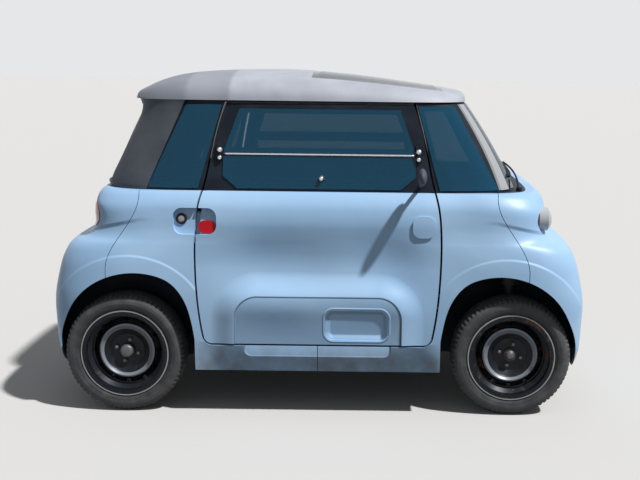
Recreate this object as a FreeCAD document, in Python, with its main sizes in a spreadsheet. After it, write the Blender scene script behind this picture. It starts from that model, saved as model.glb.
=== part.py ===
"""Two-seat electric microcar, in millimetres.

X points to the front of the car, Y to its left and Z up. The origin is on the ground, under the middle of
the car. The body is moulded in panels: two alike ends, four wings with their half of the sill, two doors
and a roof. A black pillar frame stands on the belt line and carries the flush panes.
"""
import FreeCAD, Part
import math
import os
import Sketcher
from types import SimpleNamespace

from FreeCAD import Matrix, Placement, Rotation, Vector

LEFT = 1
RIGHT = -1

SIZES = [
    ("body_length", 2410, "bumper to bumper"),
    ("body_width", 1394, "over the wing flares"),
    ("sill_height", 205, "ground to the lower edge of the panels"),
    ("belt_height", 995, "ground to the belt line"),
    ("corner_radius", 180, "plan radius of the four corners at the bumpers"),
    ("end_crown", 14, "how far the ends bow out between their corners"),
    ("panel_wall", 38, "whole thickness of wings, ends and doors"),
    ("skin_wall", 8, "thickness left behind a wheel housing, pocket or lamp"),
    ("seam_gap", 3, "seam between two fixed panels"),
    ("door_gap", 8.8, "shut line round a door"),
    ("seat_gap", 0.3, "clearance between curved faces that seat on each other"),
    ("overrun", 60, "how far a cutting shape runs past what it cuts"),
    ("seam_offset", 922, "middle of the car to the end seam above an arch"),
    ("seam_height", 640, "ground to the foot of the end seam"),
    ("wheelbase", 1720, "between the axles"),
    ("track", 1156, "between the middles of the tyres"),
    ("tyre_radius", 267, "outer radius of the tyre"),
    ("tyre_width", 155, "widest part of the tyre"),
    ("tread_width", 124, "flat part of the tread"),
    ("rim_radius", 195, "outer radius of the rim flange"),
    ("rim_width", 138, "over both rim flanges"),
    ("rim_gauge", 7, "thickness of the rim and flange"),
    ("bead_radius", 179, "rim radius under the bead"),
    ("well_radius", 163, "rim radius in the drop well"),
    ("disc_gauge", 7, "thickness of the wheel disc"),
    ("dish_radius", 109, "radius of the raised ring of the disc"),
    ("dish_height", 26, "raised ring, out from the middle plane of the wheel"),
    ("hub_face", 8, "bolting face, out from the middle plane of the wheel"),
    ("hub_radius", 78, "radius of the flat bolting face"),
    ("centre_bore", 29, "radius of the hole in the wheel disc"),
    ("vent_count", 12, "openings round the edge of the disc"),
    ("vent_radius", 9, "radius of one opening"),
    ("vent_circle", 144, "radius of the ring of openings"),
    ("arch_radius", 330, "mean radius of the wheel arch"),
    ("arch_shift", 17, "middle of the arch, inboard of the axle"),
    ("arch_height", 290, "ground to the middle of the arch"),
    ("liner_wall", 4, "thickness of the wheel housing"),
    ("front_housing", 345, "middle of the car to the front housing's inner wall"),
    ("rear_housing", 440, "middle of the car to the rear housing's inner wall"),
    ("door_half", 533, "half the greatest width of a door"),
    ("door_bottom", 329, "ground to the lower edge of a door"),
    ("door_top", 1370, "ground to the upper edge of a door"),
    ("door_step", 14, "how far the inner part of a door is set back"),
    ("door_skin", 5, "thickness of the outer part of a door at its edge"),
    ("hinge_offset", 552, "middle of the car to the door's hinge line"),
    ("hinge_spread", 667, "middle plane of the car to the door's hinge line"),
    ("hinge_low", 490, "ground to the middle of the lower hinge"),
    ("hinge_high", 548, "ground to the middle of the upper hinge"),
    ("hinge_leaf", 10, "height of a hinge arm"),
    ("hinge_pin", 4, "radius of the hinge pin"),
    ("hinge_eye", 6.5, "outer radius of the hinge eye"),
    ("hinge_neck", 28, "how far the hinge arm reaches inboard"),
    ("hinge_reach", 72, "how far the hinge arm reaches to the door"),
    ("hinge_room", 16, "hinge pocket, above and below the middle of a hinge"),
    ("hinge_arm", 7, "width of the hinge arm"),
    ("pocket_length", 275, "recess in the door"),
    ("pocket_height", 136, "recess in the door"),
    ("pocket_radius", 38, "corner of the recess"),
    ("pocket_depth", 14, "recess in the door"),
    ("pocket_offset", 170, "middle of the car to the middle of the recess"),
    ("pocket_level", 417, "ground to the middle of the recess"),
    ("grip_length", 189, "handle recess across the shut line"),
    ("grip_height", 116, "handle recess across the shut line"),
    ("grip_radius", 40, "corner of the handle recess"),
    ("grip_depth", 20, "handle recess across the shut line"),
    ("grip_offset", 538, "middle of the car to the middle of the handle recess"),
    ("grip_level", 866, "ground to the middle of the handle recess"),
    ("cap_side", 96, "cover cap on the hinge side of the door"),
    ("cap_radius", 34, "corner of the cover cap"),
    ("cap_height", 9, "how far the cover cap stands out"),
    ("cap_offset", 460, "middle of the car to the cover cap"),
    ("cap_level", 852, "ground to the cover cap"),
    ("cabin_front", 885, "middle of the car to the foot of the windscreen"),
    ("cabin_rear", 955, "middle of the car to the foot of the tailgate glass"),
    ("cabin_half", 606, "half the width of the cabin at the belt"),
    ("header_front", 655, "middle of the car to the head of the windscreen"),
    ("header_rear", 795, "middle of the car to the head of the rear window"),
    ("header_half", 534, "half the width of the cabin under the roof"),
    ("eave_height", 1385, "ground to the lower edge of the roof"),
    ("glass_wall", 5, "thickness of the panes"),
    ("frame_wall", 36, "depth of the pillars"),
    ("frame_band", 20, "black band of the frame behind the edge of a pane"),
    ("pane_gap", 5, "joint between two fixed panes"),
    ("roof_height", 1518, "ground to the crown of the roof"),
    ("roof_rear", 850, "middle of the car to the lip at the rear of the roof"),
    ("roof_front", 662, "middle of the car to the front edge of the roof"),
    ("roof_half", 537, "half the width of the roof"),
    ("roof_wall", 24, "thickness of the roof with its lining"),
    ("roof_glass_length", 590, "glass panel in the roof"),
    ("roof_glass_width", 800, "glass panel in the roof"),
    ("roof_glass_middle", 250, "middle of the car to the middle of the roof glass"),
    ("roof_glass_ledge", 22, "rest for the edge of the roof glass"),
    ("lamp_radius", 52, "head and tail lamps"),
    ("lamp_spread", 536, "middle plane of the car to a lamp"),
    ("lamp_level", 878, "ground to the middle of a lamp"),
    ("lamp_proud", 4, "how far a tail lens stands out of the panel"),
    ("lamp_depth", 70, "depth of a tail lamp"),
    ("dome_radius", 75, "radius of the domed front and back of a headlamp"),
    ("dome_reach", 1033, "middle of the car to the top of a headlamp's dome"),
    ("cover_proud", 32, "how far the rear pillar covers bulge out of the cabin"),
    ("floor_wall", 25, "thickness of the floor"),
    ("jack_spread", 400, "middle plane of the car to a jacking pad"),
    ("jack_length", 90, "jacking pad"),
    ("jack_width", 60, "jacking pad"),
    ("jack_height", 8, "how far a jacking pad stands below the floor"),
    ("scuttle_wall", 26, "thickness of the black cowl"),
    ("ball_spread", 560, "middle plane of the car to the lower ball joint"),
    ("ball_level", 150, "ground to the lower ball joint"),
    ("strut_spread", 464, "middle plane of the car to the top of the strut"),
    ("strut_level", 590, "ground to the top of the strut"),
    ("strut_mount", 34, "radius of the strut's mounting under the housing"),
    ("strut_radius", 20, "radius of the strut tube"),
    ("strut_foot", 478, "middle plane of the car to the foot of the strut"),
    ("spring_radius", 42, "radius of the spring's cup"),
    ("cup_height", 30, "height of the spring's cup"),
    ("ball_radius", 13, "radius of the ball joint"),
    ("stem_radius", 7, "radius of the stem from ball joint to knuckle"),
    ("arm_radius", 15, "radius of a suspension arm"),
    ("boss_radius", 19, "radius of the knuckle's bosses"),
    ("carrier_radius", 44, "radius of the hub carrier"),
    ("carrier_length", 74, "length of the hub carrier"),
    ("drum_radius", 92, "radius of the brake"),
    ("drum_width", 26, "width of the brake"),
    ("tow_bore", 6, "radius of the threaded hole for a towing eye"),
    ("tow_depth", 40, "depth of the towing eye's hole"),
    ("tow_spread", 200, "middle plane of the car to the towing eye's hole"),
    ("beam_radius", 24, "radius of the rear axle tube"),
    ("elbow_radius", 31, "radius of the joint between axle tube and trailing arm"),
    ("beam_lead", 190, "axle line to the rear cross tube"),
    ("trail_spread", 470, "middle plane of the car to a trailing arm"),
    ("seat_spread", 285, "middle plane of the car to the middle of a seat"),
    ("seat_width", 450, "width of a seat shell"),
    ("seat_wall", 24, "thickness of a seat shell"),
    ("cushion_wall", 62, "thickness of a seat cushion"),
    ("cushion_width", 410, "width of a seat cushion"),
    ("seat_back", -330, "hip joint of the seat, along the car"),
    ("seat_level", 440, "ground to the seat shell at the hip"),
    ("seat_length", 440, "hip to the front edge of the seat"),
    ("seat_rise", 640, "length of the backrest"),
    ("seat_rake", 17, "degrees that the backrest leans back"),
    ("seat_tilt", 6, "degrees that the seat rises to the front"),
    ("dash_front", 838, "front face of the dashboard"),
    ("dash_rear", 560, "rear face of the dashboard"),
    ("dash_bottom", 720, "ground to the underside of the dashboard"),
    ("dash_half", 520, "half the width of the dashboard"),
    ("wheel_spread", 290, "middle plane of the car to the steering wheel"),
    ("wheel_place", 222, "middle of the car to the steering wheel"),
    ("wheel_level", 930, "ground to the middle of the steering wheel"),
    ("wheel_rake", 35, "degrees that the steering wheel leans"),
    ("grip_ring", 176, "radius of the steering wheel"),
    ("grip_rod", 14, "radius of its rim"),
    ("column_radius", 24, "radius of the steering column"),
    ("column_length", 400, "steering column"),
    ("column_mount", 18, "wall of the bracket round the steering column"),
    ("column_drop", 84, "how far the column's bracket hangs under the dashboard"),
    ("mirror_place", 444, "middle of the car to a door mirror"),
    ("mirror_level", 1080, "ground to the middle of a mirror"),
    ("mirror_spread", 742, "middle plane of the car to the middle of a mirror"),
    ("mirror_width", 118, "across the car"),
    ("mirror_height", 72, "height of the mirror"),
    ("mirror_depth", 40, "along the car"),
    ("mirror_arm", 9, "radius of the mirror's arm"),
    ("pull_length", 77, "red pull on the door"),
    ("pull_height", 54, "red pull on the door"),
    ("pull_wall", 8, "red pull on the door"),
    ("pull_offset", 486, "middle of the car to the red pull"),
    ("pull_level", 840, "ground to the red pull"),
    ("bar_level", 1155, "ground to the hinge line of the lower pane"),
    ("bar_height", 9, "bright bar between the panes"),
    ("bracket_length", 26, "clamp at the end of the bar"),
    ("bracket_height", 66, "clamp at the end of the bar"),
    ("bracket_proud", 9, "how far the clamp stands out of the glass"),
    ("motor_length", 300, "drive motor with its gears"),
    ("motor_width", 420, "drive motor with its gears"),
    ("motor_height", 250, "drive motor with its gears"),
    ("motor_place", 860, "middle of the car to the middle of the motor"),
    ("battery_length", 560, "battery under the seats"),
    ("battery_width", 760, "battery under the seats"),
    ("battery_height", 140, "battery under the seats"),
    ("battery_place", -130, "middle of the car to the middle of the battery"),
]

# One row is a height between sill and belt, then the half length, the half width beside the door, at the
# middle of the door and over the wheels, all as shares of the greatest.
BODY_LEVEL_SHARES = [
    (0, 0.972, 0.970, 0.970, 0.978),
    (0.12, 0.995, 0.983, 0.983, 0.994),
    (0.30, 1.0, 0.986, 0.988, 1.0),
    (0.42, 0.997, 0.980, 0.982, 1.0),
    (0.54, 0.981, 0.965, 0.943, 0.993),
    (0.63, 0.963, 0.953, 0.931, 0.980),
    (0.70, 0.931, 0.945, 0.930, 0.960),
    (0.745, 0.872, 0.939, 0.931, 0.943),
    (0.79, 0.852, 0.936, 0.932, 0.932),
    (0.85, 0.850, 0.933, 0.932, 0.927),
    (0.91, 0.848, 0.929, 0.929, 0.925),
    (0.96, 0.840, 0.910, 0.910, 0.908),
    (1, 0.812, 0.875, 0.875, 0.875),
]
LINING_ROWS = (0, 2, 4, 5, 6, 7, 8, 10, 12)
# Along the side: half length share, then how far the side has turned from door to wing width.
SIDE_SHARES = [(0, 0, 0), (0.274, 0, 0), (0.398, 1, 0), (0.515, 1, 0.35), (0.631, 1, 1)]
# Door outline: height share above its lower edge and half width share.
DOOR_SHARES = [
    (0.034, 0.938),
    (0.114, 0.964),
    (0.241, 0.989),
    (0.374, 1.0),
    (0.489, 0.996),
    (0.589, 0.972),
    (0.67, 0.932),
    (0.837, 0.865),
    (1.0, 0.772),
]
DOOR_FOOT_SHARE = 0.868
DOOR_CORNER_SHARES = (0.011, 0.918)
# Degrees round the arch from the bumper side to the door side, with the radius share of the panel's
# opening and of the housing behind it.
ARCH_SHARES = [
    (0, 0.93, 1.01),
    (25, 0.915, 1.0),
    (45, 0.95, 1.0),
    (65, 1.0, 1.02),
    (90, 1.06, 1.065),
    (110, 1.1, 1.1),
    (122, 1.108, 1.108),
    (135, 1.065, 1.065),
    (150, 0.99, 0.99),
    (168, 0.935, 0.935),
    (180, 0.918, 0.918),
]
# End seam from the arch up to the belt: share of its offset, and of the height between foot and belt.
SEAM_SHARES = [(1.0, 0), (0.992, 0.186), (0.962, 0.35), (0.897, 0.606), (0.85, 0.876), (0.851, 1)]
# Cabin levels: height share from belt to eaves, how far front, rear and sides have moved to the header, and
# the power of the plan.
CABIN_SHARES = [
    (0, 0, 0, 0, 7),
    (0.33, 0.28, 0.27, 0.34, 6.8),
    (0.68, 0.63, 0.62, 0.69, 6.4),
    (1, 1, 1, 1, 6),
]
# Rear pillar covers: height share from belt to eaves, and share of their bulge to the rear.
COVER_SHARES = [
    (0, 0.3),
    (0.05, 0.85),
    (0.12, 1.0),
    (0.3, 0.82),
    (0.6, 0.5),
    (0.86, 0.35),
    (0.94, 0.62),
    (1, 1.2),
]
COVER_SIDE_SHARE = 0.15
# Roof sections: place share from rear lip to front edge, and height share from eaves to crown.
ROOF_SHARES = [
    (0.004, 0.2),
    (0.03, 0.44),
    (0.075, 0.66),
    (0.135, 0.83),
    (0.22, 0.93),
    (0.33, 0.985),
    (0.42, 1.0),
    (0.52, 0.965),
    (0.66, 0.83),
    (0.81, 0.62),
    (0.94, 0.41),
    (0.99, 0.3),
]
PLAN_POWER = 6
COVER_POWER = 6.5
CROWN_POWER = 2.6
# Low, so that the surface keeps to its levels instead of swinging past them.
FORM_DEGREE = 2
# Edges of the side panes: the door's edge at belt and eaves as shares of its half width.
DOOR_WAIST_SHARE = 0.975
DOOR_HEAD_SHARE = 0.79
# Foot and head of the quarter windows' far edges, as shares of the cabin's own foot and header.
FRONT_QUARTER_SHARES = (0.894, 0.905)
REAR_QUARTER_SHARES = (0.79, 0.737)
# Door panes: foot in the glass height, cut corner along and up, and head, as shares of door and glass.
PANE_FOOT_SHARE = 0.03
PANE_CORNER_SHARES = (0.85, 0.05)
PANE_HEAD_SHARE = 0.66
# Half widths of windscreen and rear window at foot and head, as shares of the cabin's half widths.
SCREEN_SHARES = (0.89, 0.835)
REAR_WINDOW_SHARES = (0.8, 0.78)
COWL_START_SHARE = 0.9
CLAMP_DROP_SHARE = 1 / 3
LINK_SHARE = 0.6
TRAIL_SHARE = 0.75
SPOKE_SHARE = 0.6


def make_sheet(doc):
    """Put every driving size in the sheet as plain text with its alias, and read the values back."""
    sheet = doc.addObject("Spreadsheet::Sheet", "Sizes")
    for row, (alias, value, note) in enumerate(SIZES, start=1):
        sheet.set(f"A{row}", note)
        sheet.set(f"B{row}", str(value))
        sheet.setAlias(f"B{row}", alias)
    doc.recompute()
    return SimpleNamespace(**{alias: float(sheet.get(alias)) for alias, value, note in SIZES})


doc = FreeCAD.newDocument("microcar")
d = make_sheet(doc)
parts = []

axle_place = d.wheelbase / 2
wheel_spread = d.track / 2
liner_gap = d.liner_wall + d.seat_gap
far = d.body_length


def keep(obj, label):
    """Name a finished sub-part, whose label is also its file name."""
    obj.Label = label
    parts.append(obj)
    return obj


def feature(label, shape):
    """Store a worked-out shape as a sub-part, cleaned to its solids."""
    obj = doc.addObject("Part::Feature", label)
    solids = shape.Solids
    obj.Shape = solids[0] if len(solids) == 1 else Part.makeCompound(solids)
    return keep(obj, label)


def mirrored(shape):
    """The same shape on the other side of the car."""
    return shape.mirror(Vector(), Vector(0, 1, 0))


def turned(shape):
    """The same shape turned half round about the vertical, as the other end or the other side."""
    return shape.rotated(Vector(), Vector(0, 0, 1), math.degrees(math.pi))


def block(x0, x1, y0, y1, z0, z1):
    """Box between two corners."""
    return Part.makeBox(x1 - x0, y1 - y0, z1 - z0, Vector(x0, y0, z0))


def rod(start, end, radius):
    """Round bar between two points."""
    axis = end - start
    return Part.makeCylinder(radius, axis.Length, start, axis)


def fused(shapes):
    """One solid from several that overlap."""
    return shapes[0].fuse(shapes[1:]).removeSplitter()


def body_plan(row, inset):
    """Closed plan outline of the lower body at one level, as points anticlockwise from the left side."""
    height, length, side, door, wing = row
    half_long = d.body_length / 2 * length - inset
    half_wide = d.body_width / 2
    radius = d.corner_radius - inset
    wing_wide = half_wide * wing - inset
    quarter = []
    for along, turn, flare in SIDE_SHARES:
        wide = door + (side - door) * turn + (wing - side) * flare
        quarter.append((d.body_length / 2 * length * along, half_wide * wide - inset))
    corner_long = half_long - d.end_crown - radius
    corner_wide = wing_wide - radius
    diagonal = radius * math.sqrt(2) / 2
    quarter.append((corner_long, wing_wide))
    quarter.append((corner_long + diagonal, corner_wide + diagonal))
    quarter.append((corner_long + radius, corner_wide))
    right = [(x, -y) for x, y in reversed(quarter)]
    front = quarter + [(half_long, 0)] + right
    rear = [(-x, -y) for x, y in front[1:-1]]
    return front + rear


def body_form(inset, rows=None):
    """Lower body from sill to belt, set in by one thickness. With rows it is the plain inner lining."""
    mean = body_plan(BODY_LEVEL_SHARES[2], 0)
    knots = [0]
    for here, there in zip(mean, mean[1:] + mean[:1]):
        knots.append(knots[-1] + math.sqrt(math.dist(here, there)))
    knots = [knot / knots[-1] for knot in knots]
    tall = d.belt_height - d.sill_height
    picked = BODY_LEVEL_SHARES if rows is None else [BODY_LEVEL_SHARES[i] for i in rows]
    stack = [(row, d.sill_height + tall * row[0]) for row in picked]
    if rows is not None:
        stack.insert(0, (picked[0], d.sill_height - d.overrun))
        stack.append((picked[-1], d.belt_height + d.overrun))
    wires = []
    for row, level in stack:
        curve = Part.BSplineCurve()
        points = [Vector(x, y, level) for x, y in body_plan(row, inset)]
        curve.interpolate(Points=points, PeriodicFlag=True, Parameters=knots)
        wires.append(Part.Wire([curve.toShape()]))
    return Part.makeLoft(wires, True, rows is not None, False, FORM_DEGREE)


def power_oval(front, rear, half, power, level, count=10):
    """Closed plan outline with flat sides and round corners, from a power curve."""
    middle = (front - rear) / 2
    reach = (front + rear) / 2
    points = []
    for i in range(4 * count):
        angle = math.pi / 2 * (i / count)
        c = math.cos(angle)
        s = math.sin(angle)
        x = middle + reach * math.copysign(abs(c) ** (2 / power), c)
        y = half * math.copysign(abs(s) ** (2 / power), s)
        points.append(Vector(x, y, level))
    return points


def cabin_form(inset, ruled=False):
    """Upper body from belt to eaves, set in by one thickness. The ruled one runs on past both ends."""
    foot = d.belt_height + d.seat_gap
    tall = d.eave_height - d.belt_height - 2 * d.seat_gap
    stack = [(foot + tall * row[0], row) for row in CABIN_SHARES]
    if ruled:
        stack.insert(0, (foot - d.overrun, CABIN_SHARES[0]))
        stack.append((foot + tall + d.overrun, CABIN_SHARES[-1]))
    wires = []
    for level, (rise, front_share, rear_share, half_share, power) in stack:
        front = d.cabin_front + (d.header_front - d.cabin_front) * front_share
        rear = d.cabin_rear + (d.header_rear - d.cabin_rear) * rear_share
        half = d.cabin_half + (d.header_half - d.cabin_half) * half_share
        points = power_oval(front - inset, rear - inset, half - inset, power, level)
        curve = Part.BSplineCurve()
        knots = [i / len(points) for i in range(len(points) + 1)]
        curve.interpolate(Points=points, PeriodicFlag=True, Parameters=knots)
        wires.append(Part.Wire([curve.toShape()]))
    return Part.makeLoft(wires, True, ruled)


def cover_form():
    """Cabin grown by the bulge of the rear pillar covers, mostly to the rear."""
    foot = d.belt_height + d.seat_gap
    tall = d.eave_height - d.belt_height - 2 * d.seat_gap
    wires = []
    for rise, share in COVER_SHARES:
        front = d.cabin_front + (d.header_front - d.cabin_front) * rise
        rear = d.cabin_rear + (d.header_rear - d.cabin_rear) * rise + d.cover_proud * share
        half = d.cabin_half + (d.header_half - d.cabin_half) * rise + d.cover_proud * share * COVER_SIDE_SHARE
        points = power_oval(front, rear, half, COVER_POWER, foot + tall * rise)
        curve = Part.BSplineCurve()
        knots = [i / len(points) for i in range(len(points) + 1)]
        curve.interpolate(Points=points, PeriodicFlag=True, Parameters=knots)
        wires.append(Part.Wire([curve.toShape()]))
    return Part.makeLoft(wires, True, False, False, FORM_DEGREE)


def roof_form(inset):
    """Roof as a run of crowned sections from the rear lip to the front edge, set in by one thickness."""
    length = d.roof_rear + d.roof_front
    middle = (d.roof_front - d.roof_rear) / 2
    wires = []
    for place, rise in ROOF_SHARES:
        x = (length * place - d.roof_rear - middle) * (1 - 2 * inset / length) + middle
        reach = abs(2 * (length * place - d.roof_rear - middle) / length)
        half = d.roof_half * (1 - reach**PLAN_POWER) ** (1 / PLAN_POWER) - inset
        crown = (d.roof_height - d.eave_height) * rise - inset
        foot = d.eave_height - (inset and d.overrun)
        points = []
        steps = 8
        for i in range(steps + 1):
            angle = math.pi * i / steps
            c = math.cos(angle)
            s = math.sin(angle)
            y = half * math.copysign(abs(c) ** (2 / CROWN_POWER), c)
            points.append(Vector(x, y, d.eave_height + crown * abs(s) ** (2 / CROWN_POWER)))
        curve = Part.BSplineCurve()
        curve.interpolate(Points=points)
        sides = [curve.toShape()]
        low = [Vector(x, -half, foot), Vector(x, half, foot)]
        if inset:
            sides.append(Part.makeLine(points[-1], low[0]))
        sides.append(Part.makeLine(low[0], low[1]))
        if inset:
            sides.append(Part.makeLine(low[1], points[0]))
        wires.append(Part.Wire(sides))
    return Part.makeLoft(wires, True, False)


def side_prism(wire, start, end):
    """Side-view outline drawn across the car from one Y to another."""
    return Part.Face(wire).translated(Vector(0, start, 0)).extrude(Vector(0, end - start, 0))


def polygon(points):
    """Side-view outline of straight runs."""
    corners = [Vector(x, 0, z) for x, z in points]
    return Part.makePolygon(corners + corners[:1])


def rounded(x, z, length, height, radius):
    """Side-view rectangle about a middle, with round corners."""
    long = length / 2
    high = height / 2
    bend = radius * (1 - math.sqrt(2) / 2)
    edges = []
    for sx, sz in ((1, 1), (-1, 1), (-1, -1), (1, -1)):
        start = Vector(x + sx * long, 0, z + sz * (high - radius))
        end = Vector(x + sx * (long - radius), 0, z + sz * high)
        if sx * sz < 0:
            start, end = end, start
        middle = Vector(x + sx * (long - bend), 0, z + sz * (high - bend))
        edges.append((start, middle, end))
    run = []
    for i, (start, middle, end) in enumerate(edges):
        run.append(Part.Arc(start, middle, end).toShape())
        following = edges[(i + 1) % 4][0]
        if (following - end).Length > d.seat_gap:
            run.append(Part.makeLine(end, following))
    return Part.Wire(run)


def door_outline(margin):
    """Side-view outline of a door, grown by a margin."""
    rise = d.door_top - d.door_bottom
    edge = []
    for height, width in DOOR_SHARES:
        edge.append(Vector(d.door_half * width + margin, 0, d.door_bottom + rise * height))
    edge[-1].z += margin
    foot = Vector(d.door_half * DOOR_FOOT_SHARE, 0, d.door_bottom - margin)
    corner_x, corner_z = d.door_half * DOOR_CORNER_SHARES[1], rise * DOOR_CORNER_SHARES[0]
    knee = Vector(corner_x + margin, 0, d.door_bottom + corner_z)
    flip = Matrix()
    flip.scale(-1, 1, 1)
    front = Part.BSplineCurve()
    front.interpolate(Points=edge)
    rear = Part.BSplineCurve()
    rear.interpolate(Points=[flip.multVec(p) for p in reversed(edge)])
    return Part.Wire(
        [
            Part.Arc(foot, knee, edge[0]).toShape(),
            front.toShape(),
            Part.makeLine(edge[-1], flip.multVec(edge[-1])),
            rear.toShape(),
            Part.Arc(flip.multVec(edge[0]), flip.multVec(knee), flip.multVec(foot)).toShape(),
            Part.makeLine(flip.multVec(foot), foot),
        ]
    )


def arch_outline(column, grow):
    """Side-view outline of the front wheel arch, closed below the sill, grown outwards."""
    middle = Vector(axle_place - d.arch_shift, 0, d.arch_height)
    points = []
    for row in ARCH_SHARES:
        radius = d.arch_radius * row[column] + grow
        angle = math.radians(row[0])
        points.append(middle + Vector(radius * math.cos(angle), 0, radius * math.sin(angle)))
    curve = Part.BSplineCurve()
    curve.interpolate(Points=points, InitialTangent=Vector(0, 0, 1), FinalTangent=Vector(0, 0, -1))
    low = [Vector(p.x, 0, d.sill_height - d.overrun) for p in (points[-1], points[0])]
    return Part.Wire(
        [
            curve.toShape(),
            Part.makeLine(points[-1], low[0]),
            Part.makeLine(low[0], low[1]),
            Part.makeLine(low[1], points[0]),
        ]
    )


def seam_outline(gap):
    """Side-view outline of the front end panel's region, starting one gap beyond the seam."""
    rise = d.belt_height - d.seam_height
    seam = [Vector(d.seam_offset * x + gap, 0, d.seam_height + rise * z) for x, z in SEAM_SHARES]
    curve = Part.BSplineCurve()
    curve.interpolate(Points=seam)
    top = [Vector(x, 0, d.belt_height + d.overrun) for x in (seam[-1].x, far)]
    low = [Vector(x, 0, d.sill_height - d.overrun) for x in (far, seam[0].x)]
    return Part.Wire(
        [
            curve.toShape(),
            Part.makeLine(seam[-1], top[0]),
            Part.makeLine(top[0], top[1]),
            Part.makeLine(top[1], low[0]),
            Part.makeLine(low[0], low[1]),
            Part.makeLine(low[1], seam[0]),
        ]
    )


# The forms that the panels are cut from.
outer = body_form(0)
lining = body_form(d.panel_wall, LINING_ROWS)
skin_inside = body_form(d.skin_wall)
shell = outer.cut(lining)
cabin_outer = cabin_form(0)
cabin_glass = cabin_form(d.glass_wall)
cabin_frame = cabin_form(d.glass_wall + d.seat_gap)
cabin_lining = cabin_form(d.glass_wall + d.frame_wall, True)
pane_skin = cabin_outer.cut(cabin_glass)
frame_skin = cabin_frame.cut(cabin_lining)
side_start = d.front_housing
side_end = d.body_width


def side_pair(wire):
    """A side-view outline drawn through both sides of the car, as two prisms."""
    left = side_prism(wire, side_start, side_end)
    return left, mirrored(left)


arch = side_prism(arch_outline(1, 0), d.front_housing, side_end)
housing = {
    "front": side_prism(arch_outline(2, 0), d.front_housing, side_end),
    "rear": side_prism(arch_outline(2, 0), d.rear_housing, side_end),
}
housing_walls = {
    "front": side_prism(arch_outline(2, d.liner_wall), d.front_housing - d.liner_wall, side_end),
    "rear": side_prism(arch_outline(2, d.liner_wall), d.rear_housing - d.liner_wall, side_end),
}
housing_room = {
    "front": side_prism(arch_outline(2, liner_gap), d.front_housing - liner_gap, side_end),
    "rear": side_prism(arch_outline(2, liner_gap), d.rear_housing - liner_gap, side_end),
}


def grip_cut():
    """Handle recess across the shut line at the latch edge, on the left side, latch towards the front."""
    wire = rounded(d.grip_offset, d.grip_level, d.grip_length, d.grip_height, d.grip_radius)
    return side_prism(wire, side_start, side_end).cut(body_form(d.grip_depth))


def hinge_room():
    """Hidden pocket for the hinges behind the edge of a wing, on the left side towards the rear."""
    return block(
        -d.hinge_offset - d.hinge_eye - d.pane_gap,
        -d.door_half + d.panel_wall,
        side_start,
        side_end,
        d.hinge_low - d.hinge_room,
        d.hinge_high + d.hinge_room,
    ).common(skin_inside)


def hinge_rod():
    """Hinge pin that stands in the pocket, on the left side towards the rear."""
    foot = Vector(-d.hinge_offset, d.hinge_spread, d.hinge_low - d.hinge_room - d.pane_gap)
    head = Vector(-d.hinge_offset, d.hinge_spread, d.hinge_high + d.hinge_room + d.pane_gap)
    return rod(foot, head, d.hinge_pin)


def lower_panels():
    """Ends and wings. Each is cut from the shell; the left door hangs at its rear edge."""
    end = shell.common(side_prism(seam_outline(0), -side_end, side_end))
    room = housing_room["front"].common(skin_inside)
    end = end.cut([arch, mirrored(arch), room, mirrored(room)])
    lamp = Part.makeCylinder(
        d.lamp_radius + d.seat_gap, far, Vector(0, d.lamp_spread, d.lamp_level), Vector(1, 0, 0)
    )
    end = end.cut([lamp, mirrored(lamp)])
    feature("front_end_panel", end)
    rear_room = housing_room["rear"].common(skin_inside)
    rear_end = shell.common(side_prism(seam_outline(0), -side_end, side_end))
    rear_end = rear_end.cut([arch, mirrored(arch), rear_room, mirrored(rear_room), lamp, mirrored(lamp)])
    feature("rear_end_panel", turned(rear_end))

    half = block(d.seam_gap / 2, far, side_start, side_end, 0, d.belt_height + d.overrun)
    beyond = side_prism(seam_outline(-d.seam_gap), -side_end, side_end)
    opening = side_prism(door_outline(d.door_gap), side_start, side_end)
    quarter = shell.common(half).cut([beyond, opening, arch])
    front_left = quarter.cut(room)
    rear_right = quarter.cut(rear_room)
    grip = grip_cut()
    pocket = turned(mirrored(hinge_room()))
    pin = turned(mirrored(hinge_rod()))
    hinged_front = front_left.cut(pocket).fuse(pin)
    hinged_rear = rear_right.cut(pocket).fuse(pin)
    feature("front_wing_left", front_left.cut(grip))
    feature("front_wing_right", mirrored(hinged_front))
    feature("rear_wing_left", mirrored(turned(hinged_rear)))
    feature("rear_wing_right", turned(rear_right.cut(grip)))


def door_body():
    """Lower part of the left door, hinged at its rear edge: stepped edge, pocket, grip and cap."""
    whole = side_prism(door_outline(0), side_start, side_end)
    core = side_prism(door_outline(-d.door_step), side_start - d.overrun, side_end + d.overrun)
    rim = whole.cut(core).common(body_form(d.door_skin))
    panel = shell.common(whole).cut(rim)
    pocket = rounded(-d.pocket_offset, d.pocket_level, d.pocket_length, d.pocket_height, d.pocket_radius)
    panel = panel.cut(side_prism(pocket, side_start, side_end).cut(body_form(d.pocket_depth)))
    panel = panel.cut(grip_cut())
    cap = rounded(-d.cap_offset, d.cap_level, d.cap_side, d.cap_side, d.cap_radius)
    cap = side_prism(cap, side_start, side_end).common(body_form(-d.cap_height)).cut(skin_inside)
    arms = [door_hinge(d.hinge_low), door_hinge(d.hinge_high)]
    return panel.fuse([cap] + arms)


def door_hinge(level):
    """Flat arm from the hinge pin, inboard round the wing's edge and out into the door, on the left side."""
    x = -d.hinge_offset
    y = d.hinge_spread
    low = level - d.hinge_leaf / 2
    high = level + d.hinge_leaf / 2
    half = d.hinge_arm / 2
    inboard = y - d.hinge_neck
    end = x + d.hinge_reach
    arm = fused(
        [
            Part.makeCylinder(d.hinge_eye, d.hinge_leaf, Vector(x, y, low)),
            block(x - half, x + half, inboard - half, y, low, high),
            block(x - half, end, inboard - half, inboard + half, low, high),
            block(end - d.hinge_arm, end, inboard - half, y, low, high),
        ]
    )
    return arm.cut(Part.makeCylinder(d.hinge_pin + d.seat_gap, d.hinge_leaf, Vector(x, y, low)))


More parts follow.
